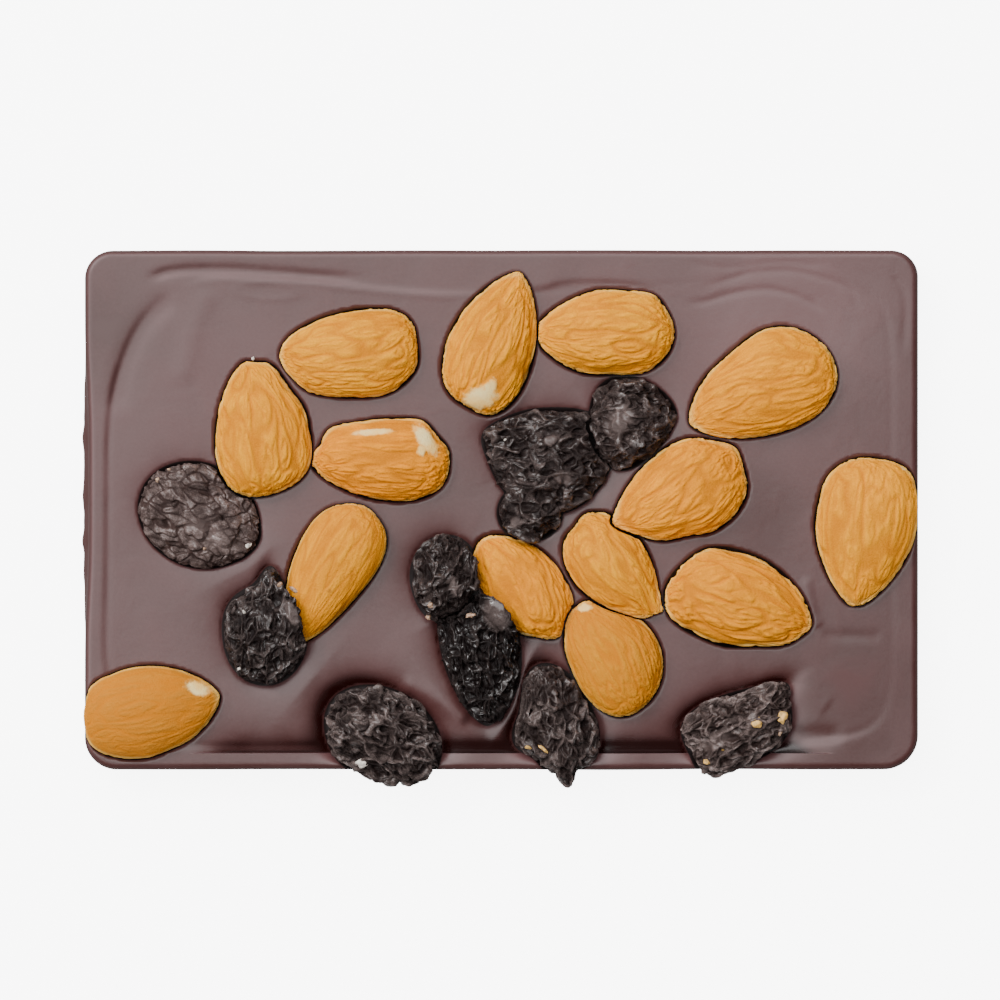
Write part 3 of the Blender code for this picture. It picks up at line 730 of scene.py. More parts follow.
def mesh_from(name, places, faces, fields=None):
    """A closed, smooth mesh from places in millimetres, with a number at each place per field."""
    data = bpy.data.meshes.new(name)
    data.from_pydata((places * MM).tolist(), [], faces)
    mesh = bmesh.new()
    mesh.from_mesh(data)
    bmesh.ops.recalc_face_normals(mesh, faces=mesh.faces[:])
    mesh.to_mesh(data)
    mesh.free()
    add_fields(data, fields or {})
    data.shade_smooth()
    return data


def plain_mesh(piece, name):
    """Replaces a piece with live modifiers by a piece with their plain result."""
    depsgraph = bpy.context.evaluated_depsgraph_get()
    data = bpy.data.meshes.new_from_object(piece.evaluated_get(depsgraph))
    data.name = name
    data.shade_smooth()
    bpy.data.objects.remove(piece)
    return new_object(name, data)


def ball_grid(segments, rings):
    """Faces of a ball whose poles are the first and last place."""
    faces = []
    for step in range(segments):
        after = (step + 1) % segments
        faces.append((0, 1 + after, 1 + step))
        for ring in range(rings - 2):
            row, below = 1 + ring * segments, 1 + (ring + 1) * segments
            faces.append((row + step, row + after, below + after, below + step))
        last = 1 + (rings - 2) * segments
        faces.append((last + step, last + after, last + segments))
    return faces


# Node trees


class Sheet:
    """A node tree that is filled one node at a time."""

    def __init__(self, tree):
        self.tree = tree

    def feed(self, socket, value):
        if isinstance(value, bpy.types.NodeSocket):
            self.tree.links.new(value, socket)
        else:
            socket.default_value = value

    def add(self, kind, inputs=None, **settings):
        node = self.tree.nodes.new(kind)
        for name, value in settings.items():
            setattr(node, name, value)
        for key, value in (inputs or {}).items():
            self.feed(node.inputs[key], value)
        return node

    def math(self, operation, *values, clamp=False):
        inputs = dict(enumerate(values))
        return self.add("ShaderNodeMath", inputs, operation=operation, use_clamp=clamp).outputs[0]

    def times(self, *values):
        return self.math("MULTIPLY", *values)

    def times_plus(self, value, factor, extra, clamp=False):
        """The value times the factor, plus the extra."""
        return self.math("MULTIPLY_ADD", value, factor, extra, clamp=clamp)

    def less(self, *values):
        return self.math("SUBTRACT", *values)

    def higher(self, *values):
        return self.math("MAXIMUM", *values)

    def vector(self, operation, *values):
        return self.add("ShaderNodeVectorMath", dict(enumerate(values)), operation=operation).outputs[0]

    def scaled(self, vector, factor):
        inputs = {"Vector": vector, "Scale": factor}
        return self.add("ShaderNodeVectorMath", inputs, operation="SCALE").outputs[0]

    def ramp(self, value, low, high, to_low=0.0, to_high=1.0):
        inputs = {0: value, 1: low, 2: high, 3: to_low, 4: to_high}
        return self.add("ShaderNodeMapRange", inputs, interpolation_type="SMOOTHSTEP").outputs[0]

    def mix(self, share, first, second):
        inputs = {0: share, 6: first, 7: second}
        return self.add("ShaderNodeMix", inputs, data_type="RGBA").outputs[2]

    def blend(self, share, first, second):
        return self.add("ShaderNodeMix", {0: share, 2: first, 3: second}).outputs[0]

    def noise(self, vector, size, detail=2.0, roughness=0.5, distortion=0.0):
        scale = self.math("DIVIDE", 1.0, size) if isinstance(size, bpy.types.NodeSocket) else 1.0 / size
        inputs = {"Vector": vector, "Scale": scale, "Detail": detail, "Roughness": roughness,
                  "Distortion": distortion}
        return self.add("ShaderNodeTexNoise", inputs)

    def cell_edge(self, vector, size):
        """Distance to the border between irregular cells, as a share of their size."""
        inputs = {"Vector": vector, "Scale": self.math("DIVIDE", 1.0, size)}
        return self.add("ShaderNodeTexVoronoi", inputs, feature="DISTANCE_TO_EDGE").outputs["Distance"]

    def crease(self, value, width):
        """1 where noise crosses its middle, falling to 0 at width from it."""
        away = self.math("ABSOLUTE", self.less(value, 0.5))
        return self.ramp(away, 0.0, width, 1.0, 0.0)


def new_group(name, inputs, outputs, kind="ShaderNodeTree"):
    """An empty node group with named sockets (name, type, default); returns its sheet and ends."""
    group = bpy.data.node_groups.new(name, kind)
    for socket_name, socket_type, default in inputs:
        socket = group.interface.new_socket(socket_name, in_out="INPUT", socket_type=socket_type)
        if default is not None:
            socket.default_value = default
    for socket_name, socket_type in outputs:
        group.interface.new_socket(socket_name, in_out="OUTPUT", socket_type=socket_type)
    sheet = Sheet(group)
    start = sheet.add("NodeGroupInput").outputs
    end = sheet.add("NodeGroupOutput").inputs
    return sheet, start, end


def fine_grain_group():
    """Powdery grain and soft mottling, shared by every food surface."""
    known = bpy.data.node_groups.get("fine_grain")
    if known:
        return known
    sheet, start, end = new_group(
        "fine_grain",
        (("Vector", "NodeSocketVector", None), ("Grain Size", "NodeSocketFloat", 0.3),
         ("Mottle Size", "NodeSocketFloat", 4.0)),
        (("Grain", "NodeSocketFloat"), ("Mottle", "NodeSocketFloat")))
    grain = sheet.noise(start["Vector"], start["Grain Size"], 3.0, 0.6).outputs["Fac"]
    mottle = sheet.noise(start["Vector"], start["Mottle Size"], 3.0, 0.5, 0.4).outputs["Fac"]
    sheet.feed(end["Grain"], sheet.ramp(grain, 0.3, 0.7))
    sheet.feed(end["Mottle"], sheet.ramp(mottle, 0.3, 0.7))
    return sheet.tree


def new_material(name):
    material = bpy.data.materials.new(name)
    material.use_nodes = True
    sheet = Sheet(material.node_tree)
    return material, sheet, material.node_tree.nodes["Principled BSDF"]


def place_mm(sheet):
    """Place on the piece in millimetres."""
    return sheet.scaled(sheet.add("ShaderNodeTexCoord").outputs["Object"], 1.0 / MM)


def read_field(sheet, name):
    node = sheet.add("ShaderNodeAttribute", attribute_name=name, attribute_type="GEOMETRY")
    return node.outputs["Fac"]


def grain_of(sheet, place, sizes):
    """Grain and mottling of a surface, for their two sizes in millimetres."""
    group = sheet.add("ShaderNodeGroup", node_tree=fine_grain_group())
    for key, value in zip(("Vector", "Grain Size", "Mottle Size"), (place, *sizes)):
        sheet.feed(group.inputs[key], value)
    return group.outputs["Grain"], group.outputs["Mottle"]


def add_bump(sheet, shader, height, depth_mm):
    bump = sheet.add("ShaderNodeBump", {"Height": height, "Distance": depth_mm * MM})
    sheet.feed(shader.inputs["Normal"], bump.outputs["Normal"])


def rgba(colour):
    return (*colour, 1.0)


def chocolate_material(settings):
    material, sheet, shader = new_material("dark_chocolate")
    place = place_mm(sheet)
    grain, mottle = grain_of(sheet, place, CHOCOLATE_GRAIN)
    wall = read_field(sheet, "wall")
    painted_shade = read_field(sheet, "painted_shade")
    broad = sheet.noise(place, 28.0, 2.0).outputs["Fac"]
    # The haze is real greyish bloom, plus painted light on slopes turned to the large light
    haze_and_painted_light = sheet.times_plus(sheet.ramp(broad, 0.3, 0.7), 0.15, read_field(sheet, "haze_and_painted_light"))
    haze_and_painted_light = sheet.times_plus(mottle, 0.18, haze_and_painted_light)
    haze_and_painted_light = sheet.times_plus(grain, 0.08, haze_and_painted_light, clamp=True)
    haze_and_painted_light = sheet.times(haze_and_painted_light, sheet.ramp(wall, 0.0, 1.0, 1.0, 0.0))
    colour = sheet.mix(haze_and_painted_light, rgba(settings.chocolate), rgba(settings.bloom_and_painted_light))
    # Painted shade: darker colour on slopes turned from the light and in the front groove
    colour = sheet.mix(painted_shade, colour, rgba(settings.painted_shade_colour))
    scuff = sheet.times(read_field(sheet, "scuff"), mottle)
    colour = sheet.mix(sheet.times(scuff, 0.5), colour, rgba(settings.bloom_and_painted_light))
    # Painted contact shade: the chocolate darkens in the narrow gap beside each topping
    beside = sheet.ramp(read_field(sheet, "gap"), 0.08, 0.3, 1.0, 0.0)
    colour = sheet.mix(beside, colour, rgba(settings.contact_shade))
    sheet.feed(shader.inputs["Base Color"], colour)
    rough = sheet.times_plus(mottle, 0.05, 0.33)
    rough = sheet.times_plus(beside, 0.25, rough)
    rough = sheet.times_plus(scuff, 0.3, rough)
    rough = sheet.times_plus(painted_shade, -0.12, rough)
    sheet.feed(shader.inputs["Roughness"], sheet.times_plus(wall, 0.35, rough))
    shader.inputs["IOR"].default_value = 1.5
    add_bump(sheet, shader, sheet.times_plus(grain, 0.15, mottle), CHOCOLATE_BUMP)
    return material


def almond_material(settings):
    material, sheet, shader = new_material("almond_skin")
    place = place_mm(sheet)
    grain, mottle = grain_of(sheet, place, ALMOND_GRAIN)
    furrow = read_field(sheet, "furrow")
    skin = sheet.mix(read_field(sheet, "warmth"), rgba(settings.skin), rgba(settings.warm_skin))
    # Towards the furrow colour: partly the skin's darker tone there, partly painted shade in the
    # furrows
    shade = sheet.times_plus(furrow, 0.75, sheet.times(mottle, 0.18))
    shade = sheet.times_plus(grain, 0.20, shade)
    skin = sheet.mix(read_field(sheet, "dark"), skin, rgba(settings.brown_skin))
    colour = sheet.mix(shade, skin, rgba(settings.furrow))
    # Painted sheen: the pale colour low on the sides
    rim = sheet.times(read_field(sheet, "rim"), sheet.ramp(mottle, 0.0, 1.0, 0.95, 0.5))
    colour = sheet.mix(rim, colour, rgba(settings.painted_rim_sheen))
    edge = sheet.noise(place, 0.7, 2.0).outputs["Fac"]
    bare = sheet.times_plus(sheet.less(edge, 0.5), 0.9, read_field(sheet, "bare"))
    bare = sheet.ramp(bare, -0.22, 0.42)
    kernel = sheet.mix(sheet.times(mottle, 0.5), rgba(settings.kernel), rgba(settings.skin))
    sheet.feed(shader.inputs["Base Color"], sheet.mix(bare, colour, kernel))
    rough = sheet.times_plus(grain, 0.16, 0.46)
    sheet.feed(shader.inputs["Roughness"], sheet.times_plus(bare, -0.05, rough))
    shader.inputs["IOR"].default_value = 1.45
    shader.inputs["Specular IOR Level"].default_value = 0.05
    add_bump(sheet, shader, sheet.times_plus(mottle, 0.4, grain), ALMOND_BUMP)
    return material


def raisin_material(settings):
    material, sheet, shader = new_material("raisin_skin")
    place = place_mm(sheet)
    grain, mottle = grain_of(sheet, place, RAISIN_GRAIN)
    crest = read_field(sheet, "crest")
    pale = read_field(sheet, "pale")
    brown = sheet.times(read_field(sheet, "brown"), sheet.ramp(mottle, 0.0, 1.0, 0.5, 1.0))
    colour = sheet.mix(brown, rgba(settings.skin), rgba(settings.brown_skin))
    # Dust on the crests, partly painted light there, which leaves the pits darker
    dust_and_painted_light = sheet.times(crest, sheet.ramp(grain, 0.0, 1.0, 0.35, 1.0))
    dust_and_painted_light = sheet.times(dust_and_painted_light, sheet.ramp(mottle, 0.0, 1.0, 0.45, 1.15))
    dust_and_painted_light = sheet.times(dust_and_painted_light, pale)
    # Painted sheen: the smooth flats are painted greyish
    dust_and_painted_light = sheet.math("ADD", dust_and_painted_light, sheet.times(read_field(sheet, "flat"), 0.28), clamp=True)
    sheet.feed(shader.inputs["Base Color"], sheet.mix(dust_and_painted_light, colour, rgba(settings.bloom_and_painted_light)))
    rough = sheet.times_plus(pale, 0.16, 0.36)
    sheet.feed(shader.inputs["Roughness"], sheet.times_plus(grain, 0.10, rough))
    shader.inputs["IOR"].default_value = 1.48
    shader.inputs["Specular IOR Level"].default_value = 0.12
    gloss = sheet.times(sheet.ramp(mottle, 0.3, 0.8), sheet.ramp(pale, 0.0, 1.0, 1.0, 0.5))
    gloss = sheet.times(gloss, sheet.ramp(crest, 0.0, 0.5, 0.2, 1.0))
    sheet.feed(shader.inputs["Coat Weight"], gloss)
    shader.inputs["Coat Roughness"].default_value = 0.16
    shader.inputs["Coat IOR"].default_value = 1.5
    add_bump(sheet, shader, sheet.times_plus(mottle, 0.5, grain), RAISIN_BUMP)
    return material


def crumb_material(name, colour):
    material, sheet, shader = new_material(name)
    grain, mottle = grain_of(sheet, place_mm(sheet), CRUMB_GRAIN)
    darker = tuple(0.45 * part for part in colour)
    sheet.feed(shader.inputs["Base Color"], sheet.mix(mottle, rgba(colour), rgba(darker)))
    sheet.feed(shader.inputs["Roughness"], sheet.times_plus(grain, 0.2, 0.4))
    return material


def floor_material(settings):
    material, sheet, shader = new_material("pale_floor")
    soft = sheet.noise(place_mm(sheet), 60.0).outputs["Fac"]
    greyer = tuple(0.98 * part for part in settings.floor)
    sheet.feed(shader.inputs["Base Color"], sheet.mix(soft, rgba(settings.floor), rgba(greyer)))
    shader.inputs["Roughness"].default_value = 0.9
    shader.inputs["Emission Color"].default_value = WHITE
    seen = sheet.add("ShaderNodeLightPath").outputs["Is Camera Ray"]
    sheet.feed(shader.inputs["Emission Strength"], sheet.times(seen, FLOOR_GLOW))
    return material


# Geometry node trees


def field_input(sheet, name):
    node = sheet.add("GeometryNodeInputNamedAttribute", {"Name": name}, data_type="FLOAT")
    return node.outputs["Attribute"]


def store_field(sheet, geometry, name, value):
    node = sheet.add("GeometryNodeStoreNamedAttribute", {"Geometry": geometry, "Name": name},
                     data_type="FLOAT", domain="POINT")
    sheet.feed(node.inputs["Value"], value)
    return node.outputs["Geometry"]


def finish_tree(sheet, geometry, material, end):
    realized = sheet.add("GeometryNodeRealizeInstances", {"Geometry": geometry}).outputs[0]
    painted = sheet.add("GeometryNodeSetMaterial", {"Geometry": realized, "Material": material})
    sheet.feed(end["Geometry"], painted.outputs[0])


def move_out(sheet, geometry, height_mm):
    """Moves a surface along its normals by a height in millimetres."""
    normal = sheet.add("GeometryNodeInputNormal").outputs[0]
    offset = sheet.scaled(normal, sheet.times(height_mm, MM))
    return sheet.add("GeometryNodeSetPosition", {"Geometry": geometry, "Offset": offset}).outputs[0]


def ridge_tree():
    """Wavy lengthwise ribs of an almond's skin, sunk between by furrows that fork and merge."""
    sheet, start, end = new_group(
        "almond_ridges",
        (("Geometry", "NodeSocketGeometry", None), ("Depth", "NodeSocketFloat", 0.3),
         ("Ridges", "NodeSocketFloat", 22.0), ("Slant", "NodeSocketFloat", 0.0),
         ("Chip Depth", "NodeSocketFloat", 0.15), ("Seed", "NodeSocketFloat", 0.0),
         ("Material", "NodeSocketMaterial", None)),
        (("Geometry", "NodeSocketGeometry"),), "GeometryNodeTree")
    along = field_input(sheet, "along")
    turn = sheet.times_plus(along, start["Slant"], field_input(sheet, "around"))
    angle = sheet.times(turn, math.tau)
    radius = sheet.math("DIVIDE", start["Ridges"], math.tau)
    radius = sheet.times(radius, field_input(sheet, "girth"))
    ring_y = sheet.times(sheet.math("COSINE", angle), radius)
    ring_z = sheet.times(sheet.math("SINE", angle), radius)
    length = sheet.times(along, 4.8)
    seeded = sheet.math("ADD", length, start["Seed"])
    place = sheet.add("ShaderNodeCombineXYZ", {0: seeded, 1: ring_y, 2: ring_z}).outputs[0]
    waver = sheet.noise(place, 1.9, 1.0).outputs["Color"]
    waver = sheet.scaled(sheet.vector("SUBTRACT", waver, (0.5, 0.5, 0.5)), 1.3)
    bent = sheet.vector("ADD", place, waver)
    main = sheet.crease(sheet.noise(bent, 1.6, 1.0, 0.4).outputs["Fac"], 0.10)
    longer = sheet.vector("MULTIPLY", bent, (1.5, 1.7, 1.7))
    minor = sheet.crease(sheet.noise(longer, 1.3, 1.0, 0.4).outputs["Fac"], 0.09)
    tips = sheet.ramp(sheet.math("MINIMUM", along, sheet.less(1.0, along)), 0.0, 0.12)
    finer = sheet.vector("MULTIPLY", bent, (2.2, 3.4, 3.4))
    finest = sheet.crease(sheet.noise(finer, 1.3, 1.0, 0.4).outputs["Fac"], 0.14)
    furrow = sheet.higher(sheet.times(main, 0.85), sheet.times(minor, 0.65))
    furrow = sheet.higher(furrow, sheet.times(finest, 0.42))
    furrow = sheet.times(furrow, sheet.times_plus(tips, 0.4, 0.6))
    bare = sheet.ramp(field_input(sheet, "bare"), -0.1, 0.15)
    skin = sheet.less(1.0, bare)
    furrow = sheet.times(furrow, skin)
    swell = sheet.less(sheet.noise(bent, 2.6, 1.0).outputs["Fac"], 0.5)
    height = sheet.times(sheet.times(furrow, start["Depth"]), -1.0)
    height = sheet.times_plus(swell, 0.35, height)
    height = sheet.less(height, sheet.times(bare, start["Chip Depth"]))
    moved = move_out(sheet, start["Geometry"], height)
    kept = store_field(sheet, moved, "furrow", furrow)
    finish_tree(sheet, kept, start["Material"], end)
    return sheet.tree


def wrinkle_tree():
    """Crumpled skin: a net of narrow crests round dark pits, or plates parted by creases."""
    sheet, start, end = new_group(
        "raisin_wrinkles",
        (("Geometry", "NodeSocketGeometry", None), ("Depth", "NodeSocketFloat", 0.7),
         ("Wrinkle Size", "NodeSocketFloat", 1.5), ("Plates", "NodeSocketFloat", 0.0),
         ("Seed", "NodeSocketVector", None), ("Material", "NodeSocketMaterial", None)),
        (("Geometry", "NodeSocketGeometry"),), "GeometryNodeTree")
    position = sheet.scaled(sheet.add("GeometryNodeInputPosition").outputs[0], 1.0 / MM)
    stretched = sheet.add("ShaderNodeCombineXYZ", {0: field_input(sheet, "grain_along"),
                                                   1: field_input(sheet, "grain_aside")})
    height_part = sheet.add("ShaderNodeSeparateXYZ", {0: position}).outputs[2]
    sheet.feed(stretched.inputs[2], height_part)
    place = sheet.vector("ADD", stretched.outputs[0], start["Seed"])
    waver = sheet.noise(place, 2.6, 1.0).outputs["Color"]
    waver = sheet.scaled(sheet.vector("SUBTRACT", waver, (0.5, 0.5, 0.5)), 2.6)
    bent = sheet.vector("ADD", place, waver)
    size = start["Wrinkle Size"]
    main = sheet.ramp(sheet.cell_edge(bent, size), 0.0, 0.19, 1.0, 0.0)
    minor = sheet.ramp(sheet.cell_edge(bent, sheet.times(size, 0.52)), 0.0, 0.24, 1.0, 0.0)
    tiny = sheet.noise(place, sheet.times(size, 0.3), 1.0).outputs["Fac"]
    lump = sheet.noise(place, sheet.times(size, 1.4), 1.0).outputs["Fac"]
    uneven = sheet.ramp(sheet.noise(place, size).outputs["Fac"], 0.38, 0.60)
    crests = sheet.times(main, sheet.times_plus(uneven, 0.5, 0.5))
    crests = sheet.higher(crests, sheet.times(minor, 0.55))
    parted = sheet.ramp(sheet.cell_edge(bent, size), 0.02, 0.13, 1.0, 0.0)
    plates = sheet.less(0.95, sheet.higher(parted, sheet.times(minor, 0.4)))
    network = sheet.blend(start["Plates"], crests, plates)
    network = sheet.times_plus(sheet.less(tiny, 0.5), 0.3, network)
    flat = sheet.less(1.0, sheet.times(field_input(sheet, "flat"), 0.85))
    height = sheet.times_plus(sheet.less(lump, 0.5), 1.4, network)
    height = sheet.times(sheet.less(height, 0.7), start["Depth"])
    moved = move_out(sheet, start["Geometry"], sheet.times(height, flat))
    kept = store_field(sheet, moved, "crest", sheet.ramp(network, 0.28, 0.92))
    finish_tree(sheet, kept, start["Material"], end)
    return sheet.tree


def run_tree(piece, tree, values):
    """Puts a geometry node tree on a piece with named values, and returns its plain result."""
    modifier = piece.modifiers.new(tree.name, "NODES")
    modifier.node_group = tree
    for item in tree.interface.items_tree:
        if item.item_type == "SOCKET" and item.in_out == "INPUT" and item.name in values:
            modifier[item.identifier] = values[item.name]
    return plain_mesh(piece, piece.name)


# Almonds


def almond_base(topping, earlier):
    """The almond's smooth skin, with where each place lies along and around it."""
    segments, rings = ALMOND_MESH
    t = np.concatenate(([0.0], np.repeat(np.arange(1, rings) * math.pi / rings, segments), [math.pi]))
    turns = np.interp(np.arange(segments) / segments, (0.0, TOP_SHARE, 1.0), (0.0, math.pi, math.tau))
    around = np.concatenate(([0.0], np.tile(turns, rings - 1), [0.0]))
    thickness = topping.half_thickness * drop_share(t, ALMOND_THICKNESS_TAPER * topping.taper)
    left_share = (1.0 + np.cos(around)) / 2.0
    factor = left_share * lobe_factor(topping, t) + (1.0 - left_share) * lobe_factor(topping, -t)
    along = factor * topping.length / 2.0 * np.cos(t)
    aside = topping.width / 2.0 * drop_share(t, topping.taper) * np.cos(around)
    aside = factor * (aside + topping.bend * (np.cos(t) ** 2 - 0.5))
    x, y = to_slab(topping, along, aside)
    z = topping.level + tilt_height(topping, along, aside) + thickness * np.sin(around)
    x, y = step_aside(x, y, earlier)
    places = np.column_stack((x, y, z))
    _, _, _, warmth, dark = ALMOND_LOOKS[topping.name]
    chips = patch_field(x, y, CHIPS.get(topping.name, ()))
    pit = 0.7 * smoothstep(0.0, 0.6, patch_field(x, y, PITS.get(topping.name, ())))
    uneven = noise_at(places, 6.0, 3.0)
    fields = {
        "along": t / math.pi,
        "around": around / math.tau,
        "girth": drop_share(t, topping.taper) ** (TIP_PINCH + (1.0 - TIP_PINCH) * t / math.pi),
        # Where the painted sheen goes: low on the almond's sides
        "rim": smoothstep(1.3, 0.3, z - topping.level - tilt_height(topping, along, aside)),
        "bare": np.where(z > topping.level, chips, OUTSIDE_PATCH),
        "warmth": np.clip(warmth + 0.25 * uneven, 0.0, 1.0),
        "dark": np.clip(dark + pit + 0.10 * noise_at(places, 3.5, 9.0), 0.0, 1.0),
    }
    return mesh_from(topping.name, places, ball_grid(segments, rings), fields)


# Raisins


def ball_of_triangles(subdivisions):
    mesh = bmesh.new()
    bmesh.ops.create_icosphere(mesh, subdivisions=subdivisions, radius=1.0)
    directions = np.array([vertex.co[:] for vertex in mesh.verts])
    faces = [tuple(vertex.index for vertex in face.verts) for face in mesh.faces]
    mesh.free()
    return directions, faces


def fold_depth(topping, along, aside, height):
    """How far the raisin's dried skin has sunk in at each place."""
    places = np.column_stack((along, aside, height)) / RAISIN_FOLD_SIZE
    places = places + np.array((topping.x, topping.y, 0.0))
    crease = np.array([abs(noise.noise(place)) + 0.5 * abs(noise.noise(place * 2.1))
                       for place in map(Vector, places.tolist())])
    return RAISIN_FOLD * np.maximum(0.0, RAISIN_FOLD_SPREAD - 1.5 * crease)


def raisin_base(topping, earlier, directions, faces):
    """The raisin's skin with its main folds, draped over what it rests on."""
    t = np.arctan2(directions[:, 1], directions[:, 0])
    level_share = np.interp(directions[:, 2], (-1.0, 1.0 - 2.0 * TOP_SHARE, 1.0), (-1.0, 0.0, 1.0))
    plan_share = np.sqrt(1.0 - level_share ** 2) ** RAISIN_BLUFFNESS
    along, aside = outline_points(topping, t)
    size = np.hypot(along, aside)
    along, aside = along * plan_share, aside * plan_share
    height = topping.half_thickness * level_share
    depth = fold_depth(topping, along, aside, height)
    height = height - depth * level_share
    along, aside = along * (1.0 - 0.5 * depth / size), aside * (1.0 - 0.5 * depth / size)
    x, y = to_slab(topping, along, aside)
    z = topping.level + tilt_height(topping, along, aside) + height
    x, y = step_aside(x, y, [other for other in earlier if other.name not in topping.rests_on])
    z = lift_over(topping, x, y, z, level_share)
    return mesh_from(topping.name, np.column_stack((x, y, z)), faces)


def join_lobe(body, lobe, voxel):
    """Melts two overlapping raisin folds into one closed skin."""
    data = body.data
    mesh = bmesh.new()
    mesh.from_mesh(data)
    mesh.from_mesh(lobe.data)
    mesh.to_mesh(data)
    mesh.free()
    bpy.data.objects.remove(lobe)
    remesh = body.modifiers.new("one_skin", "REMESH")
    remesh.mode = "VOXEL"
    remesh.voxel_size = voxel
    soften = body.modifiers.new("even_skin", "SMOOTH")
    soften.factor = 0.5
    soften.iterations = 3
    return plain_mesh(body, body.name)


def raisin_fields(topping, data):
    """Adds what the wrinkles and the material read: directions, flats, paleness."""
    places = np.empty(len(data.vertices) * 3)
    data.vertices.foreach_get("co", places)
    places = places.reshape(-1, 3) / MM
    along, aside = to_local(topping, places[:, 0], places[:, 1])
    flat = patch_field(places[:, 0], places[:, 1], RAISIN_FLATS.get(topping.name, ()))
    flat = smoothstep(-0.1, 0.5, flat) * (places[:, 2] > topping.level)
    _, _, pale, brown, _ = RAISIN_LOOKS[topping.name]
    fields = {
        "grain_along": along / 1.7,
        "grain_aside": aside,
        "flat": flat,
        "pale": np.full(len(along), pale),
        "brown": np.full(len(along), brown),
    }
    add_fields(data, fields)


# Crumbs


def crumb_pile(name, crumbs, thickness, below):
    """One mesh of small uneven lumps, each laid on the highest surface below it."""
    mesh = bmesh.new()
    for number, (x, y, length, width, angle) in enumerate(crumbs):
        start = (x * MM, y * MM, DROP_HEIGHT * MM)
        hits = [piece.ray_cast(start, (0.0, 0.0, -1.0)) for piece in below]
        top = max(place.z for found, place, _, _ in hits if found) / MM
        centre = Vector((x, y, top + CRUMB_RISE * thickness))
        made = bmesh.ops.create_icosphere(mesh, subdivisions=3, radius=0.5)["verts"]
        turn = Matrix.Rotation(math.radians(angle), 3, "Z")
        for vertex in made:
            lump = noise.noise(vertex.co * 2.4 + Vector((3.0 * number, x, y)))
            bump = 1.0 + CRUMB_LUMPINESS * lump
            size = Vector((length * bump, width * bump, thickness * bump))
            vertex.co = turn @ (vertex.co * size) + centre
    bmesh.ops.scale(mesh, vec=(MM, MM, MM), verts=mesh.verts[:])
    bmesh.ops.recalc_face_normals(mesh, faces=mesh.faces[:])
    data = bpy.data.meshes.new(name)
    mesh.to_mesh(data)
    mesh.free()
    data.shade_smooth()
    return data


# Slab


def corner_of(x, y):
    """Signs of the quarter each point lies in, its corner's radius, and how far past the arc's
    centre the point lies each way."""
    sign_x, sign_y = np.where(x >= 0.0, 1, -1), np.where(y >= 0.0, 1, -1)
    radius = np.zeros(x.shape)
    for (corner_x, corner_y), corner_radius in CORNER_RADII.items():
        radius[(sign_x == corner_x) & (sign_y == corner_y)] = corner_radius
    over_x = np.abs(x) - (SLAB_LENGTH / 2.0 - radius)
    over_y = np.abs(y) - (SLAB_WIDTH / 2.0 - radius)
    return sign_x, sign_y, radius, over_x, over_y


def edge_distance(x, y):
    """How far inside the slab's plain rounded rectangle each point lies."""
    _, _, radius, over_x, over_y = corner_of(x, y)
    outside = np.hypot(np.maximum(over_x, 0.0), np.maximum(over_y, 0.0))
    return radius - outside - np.minimum(np.maximum(over_x, over_y), 0.0)


def outward(x, y):
    """Direction straight out of the nearest edge."""
    sign_x, sign_y, _, over_x, over_y = corner_of(x, y)
    size = np.maximum(np.hypot(over_x, over_y), 1e-9)
    corner = (over_x > 0.0) & (over_y > 0.0)
    side = over_x > over_y
    out_x = np.where(corner, over_x / size, np.where(side, 1.0, 0.0)) * sign_x
    out_y = np.where(corner, over_y / size, np.where(side, 0.0, 1.0)) * sign_y
    return out_x, out_y


def round_corner(x, y):
    """Bends the square corners of the grid to the slab's corner arcs."""
    sign_x, sign_y, radius, over_x, over_y = corner_of(x, y)
    bent_x = over_x * np.sqrt(1.0 - np.minimum((over_y / radius) ** 2 / 2.0, 0.5))
    bent_y = over_y * np.sqrt(1.0 - np.minimum((over_x / radius) ** 2 / 2.0, 0.5))
    corner = (over_x > 0.0) & (over_y > 0.0)
    rounded_x = np.where(corner, x + sign_x * (bent_x - over_x), x)
    rounded_y = np.where(corner, y + sign_y * (bent_y - over_y), y)
    return rounded_x, rounded_y


def gap_to_toppings(x, y):
    """How far each point lies outside the nearest topping's outline, and the sinking towards it."""
    nearest = np.full(x.shape, FAR_FROM_TOPPINGS)
    sinking = np.zeros(x.shape)
    for topping in TOPPINGS:
        distance, radius = reach_toward(topping, x, y)
        gap = distance - radius
        nearest = np.minimum(nearest, gap)
        sinking = np.maximum(sinking, topping.dip * np.exp(-np.maximum(gap, 0.0) / DIP_REACH))
    return nearest, sinking


def bed_level(x, y):
    """Underside of the toppings, less a small gap, or a high number beside them."""
    level = np.full(x.shape, NO_BED_LEVEL)
    for topping in TOPPINGS:
        distance, radius = reach_toward(topping, x, y)
        share = np.minimum(distance / (radius + BED_GAP), 1.0)
        power = 2.0 if topping in ALMONDS else 2.0 / RAISIN_BLUFFNESS
        depth = (topping.half_thickness + BED_GAP) * np.sqrt(1.0 - share ** power)
        tilt = tilt_height(topping, *to_local(topping, x, y))
        level = np.where(share < 1.0, np.minimum(level, topping.level + tilt - depth), level)
    return level


def front_groove(x, y, depth):
    start, end = GROOVE_SPAN
    share = smoothstep(start - GROOVE_FADE, start + GROOVE_FADE, x)
    share = share * smoothstep(end + GROOVE_FADE, end - GROOVE_FADE, x)
    from_line = y + SLAB_WIDTH / 2.0 - GROOVE_INSET
    outer = np.where(from_line < 0.0, smoothstep(-GROOVE_RISE, 0.0, from_line), 1.0)
    inner = np.exp(-np.maximum(from_line, 0.0) / GROOVE_SLOPE)
    return depth * share * outer * inner


